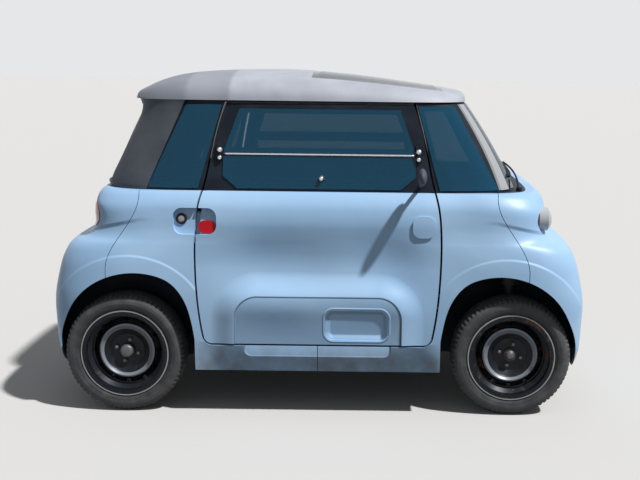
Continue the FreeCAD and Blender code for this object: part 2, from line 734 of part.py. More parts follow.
def pane_outline(name):
    """Side-view outlines of the panes, by the lines that bound them in the cabin's side."""
    tall = d.eave_height - d.belt_height
    foot = d.belt_height + d.frame_band / 2
    head = d.eave_height - d.frame_band
    waist_edge = d.door_half * DOOR_WAIST_SHARE
    head_edge = d.door_half * DOOR_HEAD_SHARE
    if name == "front_quarter":
        return polygon(
            [
                (waist_edge + d.door_gap, foot),
                (d.cabin_front * FRONT_QUARTER_SHARES[0], foot),
                (d.header_front * FRONT_QUARTER_SHARES[1], head),
                (head_edge + d.door_gap, head),
            ]
        )
    if name == "rear_quarter":
        return polygon(
            [
                (-waist_edge - d.door_gap, foot),
                (-head_edge - d.door_gap, head),
                (-d.header_rear * REAR_QUARTER_SHARES[1], head),
                (-d.cabin_rear * REAR_QUARTER_SHARES[0], foot),
            ]
        )
    low = d.belt_height + tall * PANE_FOOT_SHARE
    knee = low + (d.door_top - d.door_bottom) * PANE_CORNER_SHARES[1]
    below_bar = d.bar_level - d.bar_height / 2 - d.seat_gap
    above_bar = d.bar_level + d.bar_height / 2 + d.seat_gap
    wide = d.door_half * DOOR_HEAD_SHARE
    wide_foot = wide * PANE_CORNER_SHARES[0]
    wide_top = d.door_half * PANE_HEAD_SHARE
    top = d.door_top - d.frame_band
    if name == "lower_pane":
        return polygon(
            [
                (-wide_foot, low),
                (wide_foot, low),
                (wide, knee),
                (wide, below_bar),
                (-wide, below_bar),
                (-wide, knee),
            ]
        )
    return polygon(
        [
            (-wide, above_bar),
            (wide, above_bar),
            (wide_top, top),
            (-wide_top, top),
        ]
    )


def shrunk(wire, inset):
    """A flat outline set in by one width."""
    return wire.makeOffset2D(-inset, 2, False, False, True)


def end_polygon(low, high, foot, head):
    """Outline across the car for a windscreen or a rear window."""
    points = [Vector(0, y, z) for y, z in ((-low, foot), (low, foot), (high, head), (-high, head))]
    return Part.makePolygon(points + points[:1])


def end_prism(wire, start, end):
    """Outline across the car drawn along it."""
    return Part.Face(wire).translated(Vector(start, 0, 0)).extrude(Vector(end - start, 0, 0))


def glasshouse():
    """Pillar frame, fixed panes and the dark covers of the rear pillars."""
    foot = d.belt_height + d.frame_band / 2
    head = d.eave_height - d.frame_band / 2
    screen = end_polygon(d.cabin_half * SCREEN_SHARES[0], d.header_half * SCREEN_SHARES[1], foot, head)
    rear = end_polygon(
        d.cabin_half * REAR_WINDOW_SHARES[0],
        d.header_half * REAR_WINDOW_SHARES[1],
        foot + d.frame_band,
        head - d.frame_band,
    )
    frame = frame_skin.cut(side_pair(door_outline(d.door_gap)))
    quarters = []
    for name in ("front_quarter", "rear_quarter"):
        wire = pane_outline(name)
        quarters += [pane_skin.common(prism) for prism in side_pair(wire)]
        frame = frame.cut(side_pair(shrunk(wire, d.frame_band)))
    frame = frame.cut(end_prism(shrunk(screen, d.frame_band), 0, far))
    frame = frame.cut(end_prism(shrunk(rear, d.frame_band), -far, 0))
    feature("pillar_frame", frame)
    feature("quarter_windows", Part.makeCompound(quarters))
    feature("windscreen", pane_skin.common(end_prism(screen, 0, far)))
    feature("rear_window", pane_skin.common(end_prism(rear, -far, 0)))
    edge_low = -d.cabin_rear * REAR_QUARTER_SHARES[0] - d.pane_gap
    edge_high = -d.header_rear * REAR_QUARTER_SHARES[1] - d.pane_gap
    outline = polygon(
        [
            (edge_low, d.belt_height),
            (edge_high, d.eave_height),
            (-far, d.eave_height),
            (-far, d.belt_height),
        ]
    )
    cover = cover_form().cut(cabin_glass).common(side_prism(outline, -side_end, side_end))
    wide_rear = rear.makeOffset2D(d.pane_gap, 2, False, False, True)
    feature("rear_pillar_covers", cover.cut(end_prism(wide_rear, -far, 0)))


def roof():
    """Crowned roof shell with a glass panel let into its front half."""
    top = roof_form(0)
    under = roof_form(d.roof_wall)
    length = d.roof_glass_length
    width = d.roof_glass_width

    def panel(margin, low, high):
        shape = block(
            d.roof_glass_middle - length / 2 - margin,
            d.roof_glass_middle + length / 2 + margin,
            -width / 2 - margin,
            width / 2 + margin,
            low,
            high,
        )
        return shape

    whole = panel(0, d.eave_height, d.roof_height + d.overrun)
    grown = panel(d.seat_gap, d.eave_height, d.roof_height + d.overrun)
    hole = panel(-d.roof_glass_ledge, d.eave_height - d.overrun, d.roof_height + d.overrun)
    glass_under = roof_form(d.glass_wall)
    rest_under = roof_form(d.glass_wall + d.seat_gap)
    shell_roof = top.cut(under).cut(grown.cut(rest_under)).cut(hole)
    feature("roof_shell", shell_roof)
    feature("roof_glass", top.common(whole).cut(glass_under))


def jacking_pad(side):
    """Flat pad under the floor at mid length, where a jack lifts the car."""
    middle = side * d.jack_spread
    return block(
        -d.jack_length / 2,
        d.jack_length / 2,
        middle - d.jack_width / 2,
        middle + d.jack_width / 2,
        d.sill_height - d.jack_height,
        d.sill_height + d.seat_gap,
    )


def floor():
    """Floor, wheel housings and the black cowl in front of the windscreen."""
    inside = body_form(d.panel_wall + d.seat_gap, LINING_ROWS)
    slab = block(-far, far, -far, far, d.sill_height, d.sill_height + d.floor_wall)
    front_room = housing_room["front"]
    rear_room = turned(housing_room["rear"])
    floor_pan = inside.common(slab).cut([front_room, mirrored(front_room), rear_room, mirrored(rear_room)])
    pads = [jacking_pad(side) for side in (LEFT, RIGHT)]
    feature("floor_pan", floor_pan.fuse(pads))
    behind_skin = body_form(d.skin_wall + d.seat_gap)
    liners = []
    shaft = block(
        axle_place - d.drum_radius, axle_place + d.drum_radius, 0, side_end, 0, d.arch_height + d.drum_radius
    )
    for end in ("front", "rear"):
        liner = housing_walls[end].common(behind_skin).cut([housing[end], shaft])
        if end == "rear":
            liner = turned(liner)
        liners += [liner, mirrored(liner)]
    feature("wheel_housings", Part.makeCompound(liners))
    cowl_start = d.cabin_front * COWL_START_SHARE
    cowl_under = d.belt_height - d.scuttle_wall
    ledge = block(cowl_start, far, -far, far, cowl_under, d.belt_height - d.seat_gap)
    feature("scuttle_panel", inside.common(ledge))


def lamps():
    """Round lamps at the four corners: domed at the front, flush with the corner at the rear."""
    barrel = Part.makeCylinder(d.lamp_radius, far, Vector(0, d.lamp_spread, d.lamp_level), Vector(1, 0, 0))
    middle = Vector(d.dome_reach - d.dome_radius, d.lamp_spread, d.lamp_level)
    head = barrel.common(Part.makeSphere(d.dome_radius, middle))
    feature("headlamps", Part.makeCompound([head, mirrored(head)]))
    start = d.dome_reach - 2 * d.lamp_depth
    tail = barrel.common(body_form(-d.lamp_proud)).common(block(start, far, 0, side_end, 0, d.belt_height))
    feature("tail_lamps", Part.makeCompound([turned(tail), turned(mirrored(tail))]))


lower_panels()
glasshouse()
roof()
floor()
lamps()

# Doors. The left door hangs at its rear edge and the right door is the same piece turned half round.
panel = door_body()
cabin_door = side_prism(door_outline(0), side_start, side_end)
cabin_core = side_prism(door_outline(-d.door_step), side_start - d.overrun, side_end + d.overrun)
step_ring = cabin_door.cut(cabin_core).common(cabin_form(d.glass_wall + d.seat_gap + d.door_skin))
frame = frame_skin.common(cabin_door).cut(step_ring)
panes = []
for name in ("lower_pane", "upper_pane"):
    wire = pane_outline(name)
    panes.append(pane_skin.common(side_prism(wire, side_start, side_end)))
    frame = frame.cut(side_prism(shrunk(wire, d.frame_band), side_start, side_end))
bar = block(
    -d.door_half * DOOR_HEAD_SHARE,
    d.door_half * DOOR_HEAD_SHARE,
    side_start,
    side_end,
    d.bar_level - d.bar_height / 2,
    d.bar_level + d.bar_height / 2,
)
bar = bar.common(cabin_outer).cut(cabin_lining)
clamps = []
for sign in (1, -1):
    middle = sign * (d.door_half * DOOR_HEAD_SHARE + d.bracket_length / 2)
    clamp = block(
        middle - d.bracket_length / 2,
        middle + d.bracket_length / 2,
        side_start,
        side_end,
        d.bar_level - d.bracket_height * CLAMP_DROP_SHARE,
        d.bar_level + d.bracket_height * (1 - CLAMP_DROP_SHARE),
    )
    clamps.append(clamp.common(cabin_form(-d.bracket_proud)).cut(cabin_form(d.glass_wall + d.door_skin)))
frame = frame.fuse([bar] + clamps)
pull = rounded(d.pull_offset, d.pull_level, d.pull_length, d.pull_height, d.pull_height / 2)
pull_form = body_form(d.grip_depth - d.pull_wall).cut(body_form(d.grip_depth - d.seat_gap))
pull = side_prism(pull, side_start, side_end).common(pull_form)
mirror_middle = Vector(d.mirror_place, d.mirror_spread, d.mirror_level)
mirror = Part.makeSphere(d.mirror_width / 2)
squash = Matrix()
squash.scale(d.mirror_depth / d.mirror_width, 1, d.mirror_height / d.mirror_width)
mirror = mirror.transformGeometry(squash).translated(mirror_middle)
mirror_root = Vector(d.mirror_place, d.cabin_half - d.frame_wall, d.belt_height + d.frame_band)
mirror = mirror.fuse(rod(mirror_root, mirror_middle, d.mirror_arm))
door_pieces = {"panel": panel, "frame": frame, "glass": Part.makeCompound(panes), "pull": pull}
for name, shape in door_pieces.items():
    feature(f"door_{name}_left", shape)
    feature(f"door_{name}_right", turned(shape))
feature("door_mirror_left", mirror.cut(cabin_glass))
feature("door_mirror_right", mirrored(mirror).cut(turned(cabin_glass)))


def origin_plane(body, role):
    """One of a body's own origin planes or axes."""
    return next(f for f in body.Origin.OriginFeatures if f.Role == role)


def drawn_profile(body, name, role, corners):
    """Closed profile of straight runs. Each corner is a pair of formulas on the sheet of sizes."""
    sketch = body.newObject("Sketcher::SketchObject", name)
    sketch.AttachmentSupport = [(origin_plane(body, role), "")]
    sketch.MapMode = "FlatFace"
    count = len(corners)
    guess = []
    for i in range(count):
        angle = 2 * math.pi * i / count
        guess.append(Vector(d.rim_radius * (2 + math.cos(angle)), d.rim_radius * math.sin(angle), 0))
    for i in range(count):
        sketch.addGeometry(Part.LineSegment(guess[i], guess[(i + 1) % count]))
    for i in range(count):
        sketch.addConstraint(Sketcher.Constraint("Coincident", i, 2, (i + 1) % count, 1))
    for i, pair in enumerate(corners):
        for kind, formula, value in zip(("DistanceX", "DistanceY"), pair, guess[i]):
            n = sketch.addConstraint(Sketcher.Constraint(kind, -1, 1, i, 1, value))
            sketch.setExpression(f"Constraints[{n}]", formula)
    return sketch


def revolved(body, sketch):
    """Solid of revolution about the body's Y axis."""
    turn = body.newObject("PartDesign::Revolution", sketch.Name + "_turn")
    turn.Profile = sketch
    turn.ReferenceAxis = (sketch, ["V_Axis"])
    turn.Angle = math.degrees(2 * math.pi)
    sketch.Visibility = False
    return turn


def mount_wheel(body, end, side):
    """Put a wheel or tyre on its axle, face outwards."""
    if side == RIGHT:
        body.Placement = Placement(Vector(), Rotation(Vector(0, 0, 1), math.degrees(math.pi)))
    body.setExpression("Placement.Base.x", f"{end} * Sizes.wheelbase / 2")
    body.setExpression("Placement.Base.y", f"{side} * Sizes.track / 2")
    body.setExpression("Placement.Base.z", "Sizes.tyre_radius")


RIM_EDGE = "Sizes.rim_width / 2"
RIM_SEAT = "(Sizes.rim_width / 2 - Sizes.rim_gauge)"
SEAT_END = "(Sizes.rim_width / 2 - Sizes.rim_gauge * 4)"
WELL_END = "(Sizes.rim_width / 2 - Sizes.rim_gauge * 6)"


def wheel(label, end, side):
    """Pressed steel wheel: rim with drop well, dished disc with a raised ring, vents round its edge."""
    body = doc.addObject("PartDesign::Body", label)
    corners = [
        ("Sizes.rim_radius", RIM_EDGE),
        ("Sizes.rim_radius", RIM_SEAT),
        ("Sizes.bead_radius", RIM_SEAT),
        ("Sizes.bead_radius", SEAT_END),
        ("Sizes.well_radius", WELL_END),
        ("Sizes.well_radius", "-" + WELL_END),
        ("Sizes.bead_radius", "-" + SEAT_END),
        ("Sizes.bead_radius", "-" + RIM_SEAT),
        ("Sizes.rim_radius", "-" + RIM_SEAT),
        ("Sizes.rim_radius", "-" + RIM_EDGE),
        ("Sizes.bead_radius - Sizes.rim_gauge", "-" + RIM_EDGE),
        ("Sizes.bead_radius - Sizes.rim_gauge", "-" + SEAT_END),
        ("Sizes.well_radius - Sizes.rim_gauge", "-" + WELL_END),
        ("Sizes.well_radius - Sizes.rim_gauge", "0 mm"),
        ("Sizes.vent_circle", "Sizes.hub_face / 2 - Sizes.disc_gauge"),
        ("Sizes.dish_radius", "Sizes.dish_height - Sizes.disc_gauge"),
        ("Sizes.hub_radius", "Sizes.hub_face - Sizes.disc_gauge"),
        ("Sizes.centre_bore", "Sizes.hub_face - Sizes.disc_gauge"),
        ("Sizes.centre_bore", "Sizes.hub_face"),
        ("Sizes.hub_radius - Sizes.disc_gauge / 2", "Sizes.hub_face"),
        ("Sizes.dish_radius - Sizes.disc_gauge", "Sizes.dish_height"),
        ("Sizes.dish_radius + Sizes.disc_gauge", "Sizes.dish_height"),
        ("Sizes.vent_circle + Sizes.disc_gauge", "Sizes.hub_face / 2"),
        ("Sizes.well_radius - Sizes.rim_gauge", "Sizes.disc_gauge"),
        ("Sizes.well_radius - Sizes.rim_gauge", WELL_END),
        ("Sizes.bead_radius - Sizes.rim_gauge", SEAT_END),
        ("Sizes.bead_radius - Sizes.rim_gauge", RIM_EDGE),
    ]
    turn = revolved(body, drawn_profile(body, label + "_section", "XY_Plane", corners))
    vents = body.newObject("Sketcher::SketchObject", label + "_vent")
    vents.AttachmentSupport = [(origin_plane(body, "XZ_Plane"), "")]
    vents.MapMode = "FlatFace"
    vents.addGeometry(Part.Circle(Vector(d.vent_circle, 0, 0), Vector(0, 0, 1), d.vent_radius))
    place = vents.addConstraint(Sketcher.Constraint("DistanceX", -1, 1, 0, 3, d.vent_circle))
    vents.setExpression(f"Constraints[{place}]", "Sizes.vent_circle")
    vents.addConstraint(Sketcher.Constraint("PointOnObject", 0, 3, -1))
    size = vents.addConstraint(Sketcher.Constraint("Radius", 0, d.vent_radius))
    vents.setExpression(f"Constraints[{size}]", "Sizes.vent_radius")
    cut = body.newObject("PartDesign::Pocket", label + "_hole")
    cut.Profile = vents
    cut.Type = 1
    cut.Midplane = True
    doc.recompute()
    ring = body.newObject("PartDesign::PolarPattern", label + "_holes")
    ring.Originals = [cut]
    ring.Axis = (vents, ["N_Axis"])
    ring.Angle = math.degrees(2 * math.pi)
    ring.Occurrences = int(d.vent_count)
    body.Tip = ring
    mount_wheel(body, end, side)
    doc.recompute()
    if ring.Shape.Volume >= turn.Shape.Volume:
        raise RuntimeError(f"{label} has no vents")
    return keep(body, label)


def tyre(label, end, side):
    """Tyre that stands on the bead seats and outside the rim flanges."""
    body = doc.addObject("PartDesign::Body", label)
    bead = "Sizes.bead_radius + Sizes.seat_gap"
    flank = "(Sizes.rim_width / 2 - Sizes.rim_gauge - Sizes.seat_gap)"
    belly = "(Sizes.rim_radius + Sizes.tyre_radius) / 2"
    half = [
        (bead, flank),
        ("Sizes.rim_radius + Sizes.seat_gap", flank),
        (belly, "Sizes.tyre_width / 2"),
        ("Sizes.tyre_radius", "Sizes.tread_width / 2"),
    ]
    corners = half + [(across, "-" + along) for across, along in reversed(half)]
    revolved(body, drawn_profile(body, label + "_section", "XY_Plane", corners))
    mount_wheel(body, end, side)
    return keep(body, label)


for end, place in (("front", 1), ("rear", -1)):
    for side, word in ((LEFT, "left"), (RIGHT, "right")):
        wheel(f"wheel_{end}_{word}", place, side)
        tyre(f"tyre_{end}_{word}", place, side)

hub_seat = wheel_spread + d.hub_face - d.disc_gauge - d.seat_gap


def hub_shapes(x):
    """Hub carrier, brake and the spindle that shows in the middle of a left wheel."""
    level = d.tyre_radius
    return [
        rod(Vector(x, hub_seat - d.carrier_length, level), Vector(x, hub_seat, level), d.carrier_radius),
        rod(
            Vector(x, hub_seat - d.drum_width - d.disc_gauge, level),
            Vector(x, hub_seat - d.disc_gauge, level),
            d.drum_radius,
        ),
        rod(
            Vector(x, hub_seat - d.disc_gauge, level),
            Vector(x, wheel_spread + d.hub_face + d.drum_width / 2, level),
            d.centre_bore - 2 * d.seat_gap,
        ),
    ]


def steering_knuckles():
    """Front knuckles that turn with strut and spring about the line from lower ball joint to strut head."""
    ball = Vector(axle_place, d.ball_spread, d.ball_level)
    head = Vector(axle_place, d.strut_spread, d.strut_level)
    axis = (head - ball).normalize()
    foot = Vector(axle_place, d.strut_foot, d.tyre_radius + d.carrier_radius)
    seat = Vector(axle_place, hub_seat - d.carrier_length / 2, d.tyre_radius)
    strut_line = (head - foot).normalize()
    shapes = hub_shapes(axle_place) + [
        rod(ball + axis * (d.ball_radius + d.seat_gap), ball + axis * d.drum_radius, d.stem_radius),
        rod(ball + axis * (d.ball_radius + d.boss_radius), ball + axis * d.drum_radius, d.boss_radius),
        rod(foot, head - axis * d.strut_radius, d.strut_radius),
        rod(foot + strut_line * d.strut_radius, seat, d.boss_radius),
        rod(head - axis * d.cup_height, head, d.spring_radius),
    ]
    knuckle = fused(shapes)
    feature("knuckle_left", knuckle)
    feature("knuckle_right", mirrored(knuckle))
    under_roof = side_prism(arch_outline(2, -d.seat_gap), d.front_housing + d.seat_gap, side_end)
    mount = rod(head + axis * d.seat_gap, head + axis * d.carrier_length, d.strut_mount).common(under_roof)
    feature("strut_mounts", Part.makeCompound([mount, mirrored(mount)]))


def front_suspension():
    """Cross member under the floor with a towing-eye hole and the lower arms out to the ball joints."""
    low = d.sill_height - 2 * d.arm_radius
    wide = d.front_housing - d.drum_radius / 2
    deep = d.drum_radius
    shapes = [block(axle_place - deep, axle_place + deep, -wide, wide, low, d.sill_height)]
    for side in (LEFT, RIGHT):
        ball = Vector(axle_place, side * d.ball_spread, d.ball_level)
        shapes.append(Part.makeSphere(d.ball_radius, ball))
        for lead in (-1, 1):
            root = Vector(axle_place + lead * deep / 2, side * wide, d.sill_height - d.arm_radius)
            shapes.append(rod(root, ball, d.arm_radius * LINK_SHARE))
    face = Vector(axle_place + deep, -d.tow_spread, d.sill_height - d.arm_radius)
    hole = rod(face - Vector(d.tow_depth, 0, 0), face + Vector(d.overrun, 0, 0), d.tow_bore)
    feature("front_suspension", fused(shapes).cut(hole))


def rear_axle():
    """Rear tube with trailing arms, stub axles and brackets up to the floor."""
    level = d.sill_height - d.beam_radius - d.pane_gap
    tube_x = -axle_place + d.beam_lead
    shapes = [
        rod(Vector(tube_x, -d.trail_spread, level), Vector(tube_x, d.trail_spread, level), d.beam_radius)
    ]
    for side in (LEFT, RIGHT):
        y = side * d.trail_spread
        wheel_end = Vector(-axle_place, y, d.tyre_radius)
        shapes.append(rod(Vector(tube_x, y, level), wheel_end, d.beam_radius * TRAIL_SHARE))
        shapes.append(Part.makeSphere(d.elbow_radius, Vector(tube_x, y, level)))
        shapes.append(
            block(
                tube_x - d.beam_radius * TRAIL_SHARE,
                tube_x + d.beam_radius * TRAIL_SHARE,
                side * d.seat_spread - d.beam_radius,
                side * d.seat_spread + d.beam_radius,
                level,
                d.sill_height,
            )
        )
        stub = hub_shapes(-axle_place)
        stub.append(
            rod(
                Vector(-axle_place, d.trail_spread - d.beam_radius, d.tyre_radius),
                Vector(-axle_place, hub_seat, d.tyre_radius),
                d.beam_radius,
            )
        )
        shapes += stub if side == LEFT else [mirrored(s) for s in stub]
    feature("rear_axle", fused(shapes))


def plain_box(label, length, width, height, x, y, z):
    """Heavy closed mass as one block, bound to the sheet."""
    box = doc.addObject("Part::Box", label)
    box.setExpression("Length", length)
    box.setExpression("Width", width)
    box.setExpression("Height", height)
    box.setExpression("Placement.Base.x", x)
    box.setExpression("Placement.Base.y", y)
    box.setExpression("Placement.Base.z", z)
    return keep(box, label)


def seats():
    """Two bucket shells on the battery box, with their cushions."""
    hip = Vector(d.seat_back, 0, d.seat_level)
    tilt = math.radians(d.seat_tilt)
    rake = math.radians(d.seat_rake)
    pan = Vector(math.cos(tilt), 0, math.sin(tilt))
    back = Vector(-math.sin(rake), 0, math.cos(rake))
    lift = Vector(-pan.z, 0, pan.x)
    push = Vector(back.z, 0, -back.x)

    def corner(off_pan, off_back):
        """Point at given distances from the shell's underside and its rear face."""
        spread = pan.x * push.z - pan.z * push.x
        p = (off_back - off_pan * lift.dot(push)) / pan.dot(push)
        return hip + pan * p + lift * off_pan

    def slab(points, width, spread):
        wire = Part.makePolygon(points + points[:1])
        return side_prism(wire, spread - width / 2, spread + width / 2)

    wall = d.seat_wall
    start = wall + d.seat_gap
    thick = start + d.cushion_wall
    shell_points = [
        hip,
        hip + pan * d.seat_length,
        hip + pan * d.seat_length + lift * wall,
        corner(wall, wall),
        corner(wall, wall) + back * (d.seat_rise - wall),
        hip + back * d.seat_rise,
    ]
    pan_start = corner(start, thick + d.seat_gap)
    pan_points = [
        pan_start,
        hip + pan * (d.seat_length - wall) + lift * start,
        hip + pan * (d.seat_length - wall) + lift * thick,
        corner(thick, thick + d.seat_gap),
    ]
    back_start = corner(start, start)
    back_end = back * (d.seat_rise - 2 * wall)
    back_points = [
        back_start,
        corner(start, thick),
        corner(start, thick) + back_end,
        back_start + back_end,
    ]
    box_top = d.sill_height + d.floor_wall + d.battery_height
    shells = []
    cushions = []
    for side in (LEFT, RIGHT):
        spread = side * d.seat_spread
        foot = block(
            d.seat_back + wall,
            d.seat_back + wall + d.seat_length / 2,
            spread - d.seat_width / 3,
            spread + d.seat_width / 3,
            box_top,
            d.seat_level + wall,
        )
        shells.append(fused([slab(shell_points, d.seat_width, spread), foot]))
        cushions.append(slab(pan_points, d.cushion_width, spread))
        cushions.append(slab(back_points, d.cushion_width, spread))
    feature("seat_shells", Part.makeCompound(shells))
    feature("seat_cushions", Part.makeCompound(cushions))


def dashboard():
    """Dashboard under the cowl, with the steering column and the steering wheel on the left."""
    top = d.belt_height - d.scuttle_wall - d.seat_gap
    bottom = d.dash_bottom
    lip = d.scuttle_wall * 2
    points = [
        (d.dash_rear, bottom + lip),
        (d.dash_rear + lip, bottom),
        (d.dash_front, bottom),
        (d.dash_front, top),
        (d.dash_rear + 2 * lip, top),
        (d.dash_rear, top - 2 * lip),
    ]
    bracket = block(
        d.dash_rear,
        d.dash_rear + 2 * (d.column_radius + d.column_mount),
        d.wheel_spread - d.column_radius - d.column_mount,
        d.wheel_spread + d.column_radius + d.column_mount,
        bottom - d.column_drop,
        bottom + 2 * lip,
    )
    rake = math.radians(d.wheel_rake)
    middle = Vector(d.wheel_place, d.wheel_spread, d.wheel_level)
    down = Vector(math.cos(rake), 0, -math.sin(rake))
    up = Vector(math.sin(rake), 0, math.cos(rake))
    across = Vector(0, 1, 0)
    ring = Part.makeTorus(d.grip_ring, d.grip_rod, middle, down)
    hub = rod(middle - down * d.grip_rod, middle + down * (3 * d.grip_rod), 3 * d.grip_rod)
    spoke_end = d.grip_ring - d.grip_rod / 2
    spokes = [
        rod(middle + way * d.grip_rod, middle + way * spoke_end, d.grip_rod * SPOKE_SHARE)
        for way in (across, -across, -up)
    ]
    feature("steering_wheel", hub.fuse(spokes).fuse(ring))
    start = middle + down * (3 * d.grip_rod + d.seat_gap)
    end = start + down * d.column_length
    feature("steering_column", rod(start, end, d.column_radius))
    socket = rod(start, end + down * d.seat_gap, d.column_radius + d.seat_gap)
    board = side_prism(polygon(points), -d.dash_half, d.dash_half)
    feature("dashboard", board.fuse(bracket).cut(socket))


steering_knuckles()
front_suspension()
rear_axle()
seats()
dashboard()
floor_top = "Sizes.sill_height + Sizes.floor_wall"
plain_box(
    "drive_motor",
    "Sizes.motor_length",
    "Sizes.motor_width",
    "Sizes.motor_height",
    "Sizes.motor_place - Sizes.motor_length / 2",
    "-Sizes.motor_width / 2",
    floor_top,
)
plain_box(
    "battery_pack",
    "Sizes.battery_length",
    "Sizes.battery_width",
    "Sizes.battery_height",
    "Sizes.battery_place - Sizes.battery_length / 2",
    "-Sizes.battery_width / 2",
    floor_top,
)


doc.recompute()
os.makedirs("parts", exist_ok=True)
for obj in parts:
    if obj.Shape.isNull() or not obj.Shape.isValid() or {"Invalid", "Error"} & set(obj.State):
        raise RuntimeError(f"{obj.Label} is not a sound shape")
for obj in parts:
    obj.Shape.exportStep(f"parts/{obj.Label}.step")
    print(obj.Label, len(obj.Shape.Solids), round(obj.Shape.Volume / 1e6, 2))
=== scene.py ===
"""Looks of the two-seat electric microcar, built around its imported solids. Metres, X forward, Y left, Z up."""
import math

import bmesh
import bpy
import numpy as np
from mathutils import Matrix, Vector


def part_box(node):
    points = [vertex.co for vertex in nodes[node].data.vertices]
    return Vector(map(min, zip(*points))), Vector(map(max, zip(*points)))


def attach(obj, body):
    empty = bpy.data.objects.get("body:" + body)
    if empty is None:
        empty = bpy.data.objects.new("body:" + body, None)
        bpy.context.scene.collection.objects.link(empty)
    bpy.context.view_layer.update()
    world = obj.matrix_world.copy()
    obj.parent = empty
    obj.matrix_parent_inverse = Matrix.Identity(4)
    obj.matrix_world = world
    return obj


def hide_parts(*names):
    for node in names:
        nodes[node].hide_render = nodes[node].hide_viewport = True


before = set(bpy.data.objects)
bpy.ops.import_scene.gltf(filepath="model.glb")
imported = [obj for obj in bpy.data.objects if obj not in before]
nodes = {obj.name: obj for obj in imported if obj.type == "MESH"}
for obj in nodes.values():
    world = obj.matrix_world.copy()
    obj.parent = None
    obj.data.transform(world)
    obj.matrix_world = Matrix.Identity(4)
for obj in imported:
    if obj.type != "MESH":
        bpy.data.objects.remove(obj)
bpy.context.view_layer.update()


# Camera and room. The camera stands level with the roof, about five metres off the right side, and looks a
# little down. The room is a wide pale floor under an even sky, with one soft high lamp from the front right.
PITCH = math.radians(9.96)
ROLL = math.radians(0.70)
level_right = Vector((1, 0, 0))
level_up = Vector((0, math.sin(PITCH), math.cos(PITCH)))
ahead = Vector((0, math.cos(PITCH), -math.sin(PITCH)))
right = level_right * math.cos(ROLL) + level_up * math.sin(ROLL)
up = level_up * math.cos(ROLL) - level_right * math.sin(ROLL)


def placed(name, data):
    """Object in the scene for a mesh, camera or lamp."""
    piece = bpy.data.objects.new(name, data)
    bpy.context.scene.collection.objects.link(piece)
    return piece


camera_data = bpy.data.cameras.new("camera")
camera_data.lens = 56.53
camera_data.sensor_width = 36
camera_data.shift_x = -0.0869
camera = placed("camera", camera_data)
pose = Matrix((right, up, -ahead)).transposed().to_4x4()
pose.translation = (0.25, -4.96, 1.55)
camera.matrix_world = pose
bpy.context.scene.camera = camera
bpy.context.scene.view_settings.view_transform = "Standard"


def mesh_piece(name, points, faces):
    """Smooth object at the origin whose mesh holds the given points and faces."""
    mesh = bpy.data.meshes.new(name)
    mesh.from_pydata(np.asarray(points, float).tolist(), [], np.asarray(faces, int).tolist())
    mesh.update()
    mesh.polygons.foreach_set("use_smooth", np.ones(len(mesh.polygons), bool))
    return placed(name, mesh)


key = bpy.data.lights.new("key_lamp", "SUN")
key.energy = 4.7
key.angle = math.radians(2.5)
key.color = (1.0, 0.985, 0.96)
key_stand = placed("key_lamp", key)
key_stand.rotation_euler = Vector((0.48, -0.28, 0.83)).to_track_quat("Z", "Y").to_euler()


def pale_to_camera(tree, shader_input, seen_value, light_value):
    """Value that the camera, glass and metal see, and another for the light that falls on the object."""
    paths = tree.nodes.new("ShaderNodeLightPath")
    either = paths.outputs["Is Camera Ray"]
    for name in ("Is Glossy Ray", "Is Transmission Ray"):
        top = tree.nodes.new("ShaderNodeMath")
        top.operation = "MAXIMUM"
        tree.links.new(either, top.inputs[0])
        tree.links.new(paths.outputs[name], top.inputs[1])
        either = top.outputs[0]
    span = tree.nodes.new("ShaderNodeMapRange")
    span.inputs["To Min"].default_value = light_value
    span.inputs["To Max"].default_value = seen_value
    tree.links.new(either, span.inputs["Value"])
    tree.links.new(span.outputs["Result"], shader_input)


world = bpy.data.worlds.new("sky")
bpy.context.scene.world = world
world.use_nodes = True
sky = world.node_tree.nodes["Background"]
sky.inputs["Color"].default_value = (0.96, 0.975, 1.0, 1)
pale_to_camera(world.node_tree, sky.inputs["Strength"], 0.82, 0.24)
ROOM = 90
corners = [(-ROOM, -ROOM, 0), (ROOM, -ROOM, 0), (ROOM, ROOM, 0), (-ROOM, ROOM, 0)]
floor = mesh_piece("studio_floor", corners, [(0, 1, 2, 3)])
floor_paint = bpy.data.materials.new("floor_paint")
floor_paint.use_nodes = True
floor_shader = floor_paint.node_tree.nodes["Principled BSDF"]
floor_shader.inputs["Roughness"].default_value = 0.9
tone = floor_paint.node_tree.nodes.new("ShaderNodeCombineColor")
for channel in ("Red", "Green", "Blue"):
    pale_to_camera(floor_paint.node_tree, tone.inputs[channel], 0.52, 0.12)
floor_paint.node_tree.links.new(tone.outputs[0], floor_shader.inputs["Base Color"])
floor.data.materials.append(floor_paint)


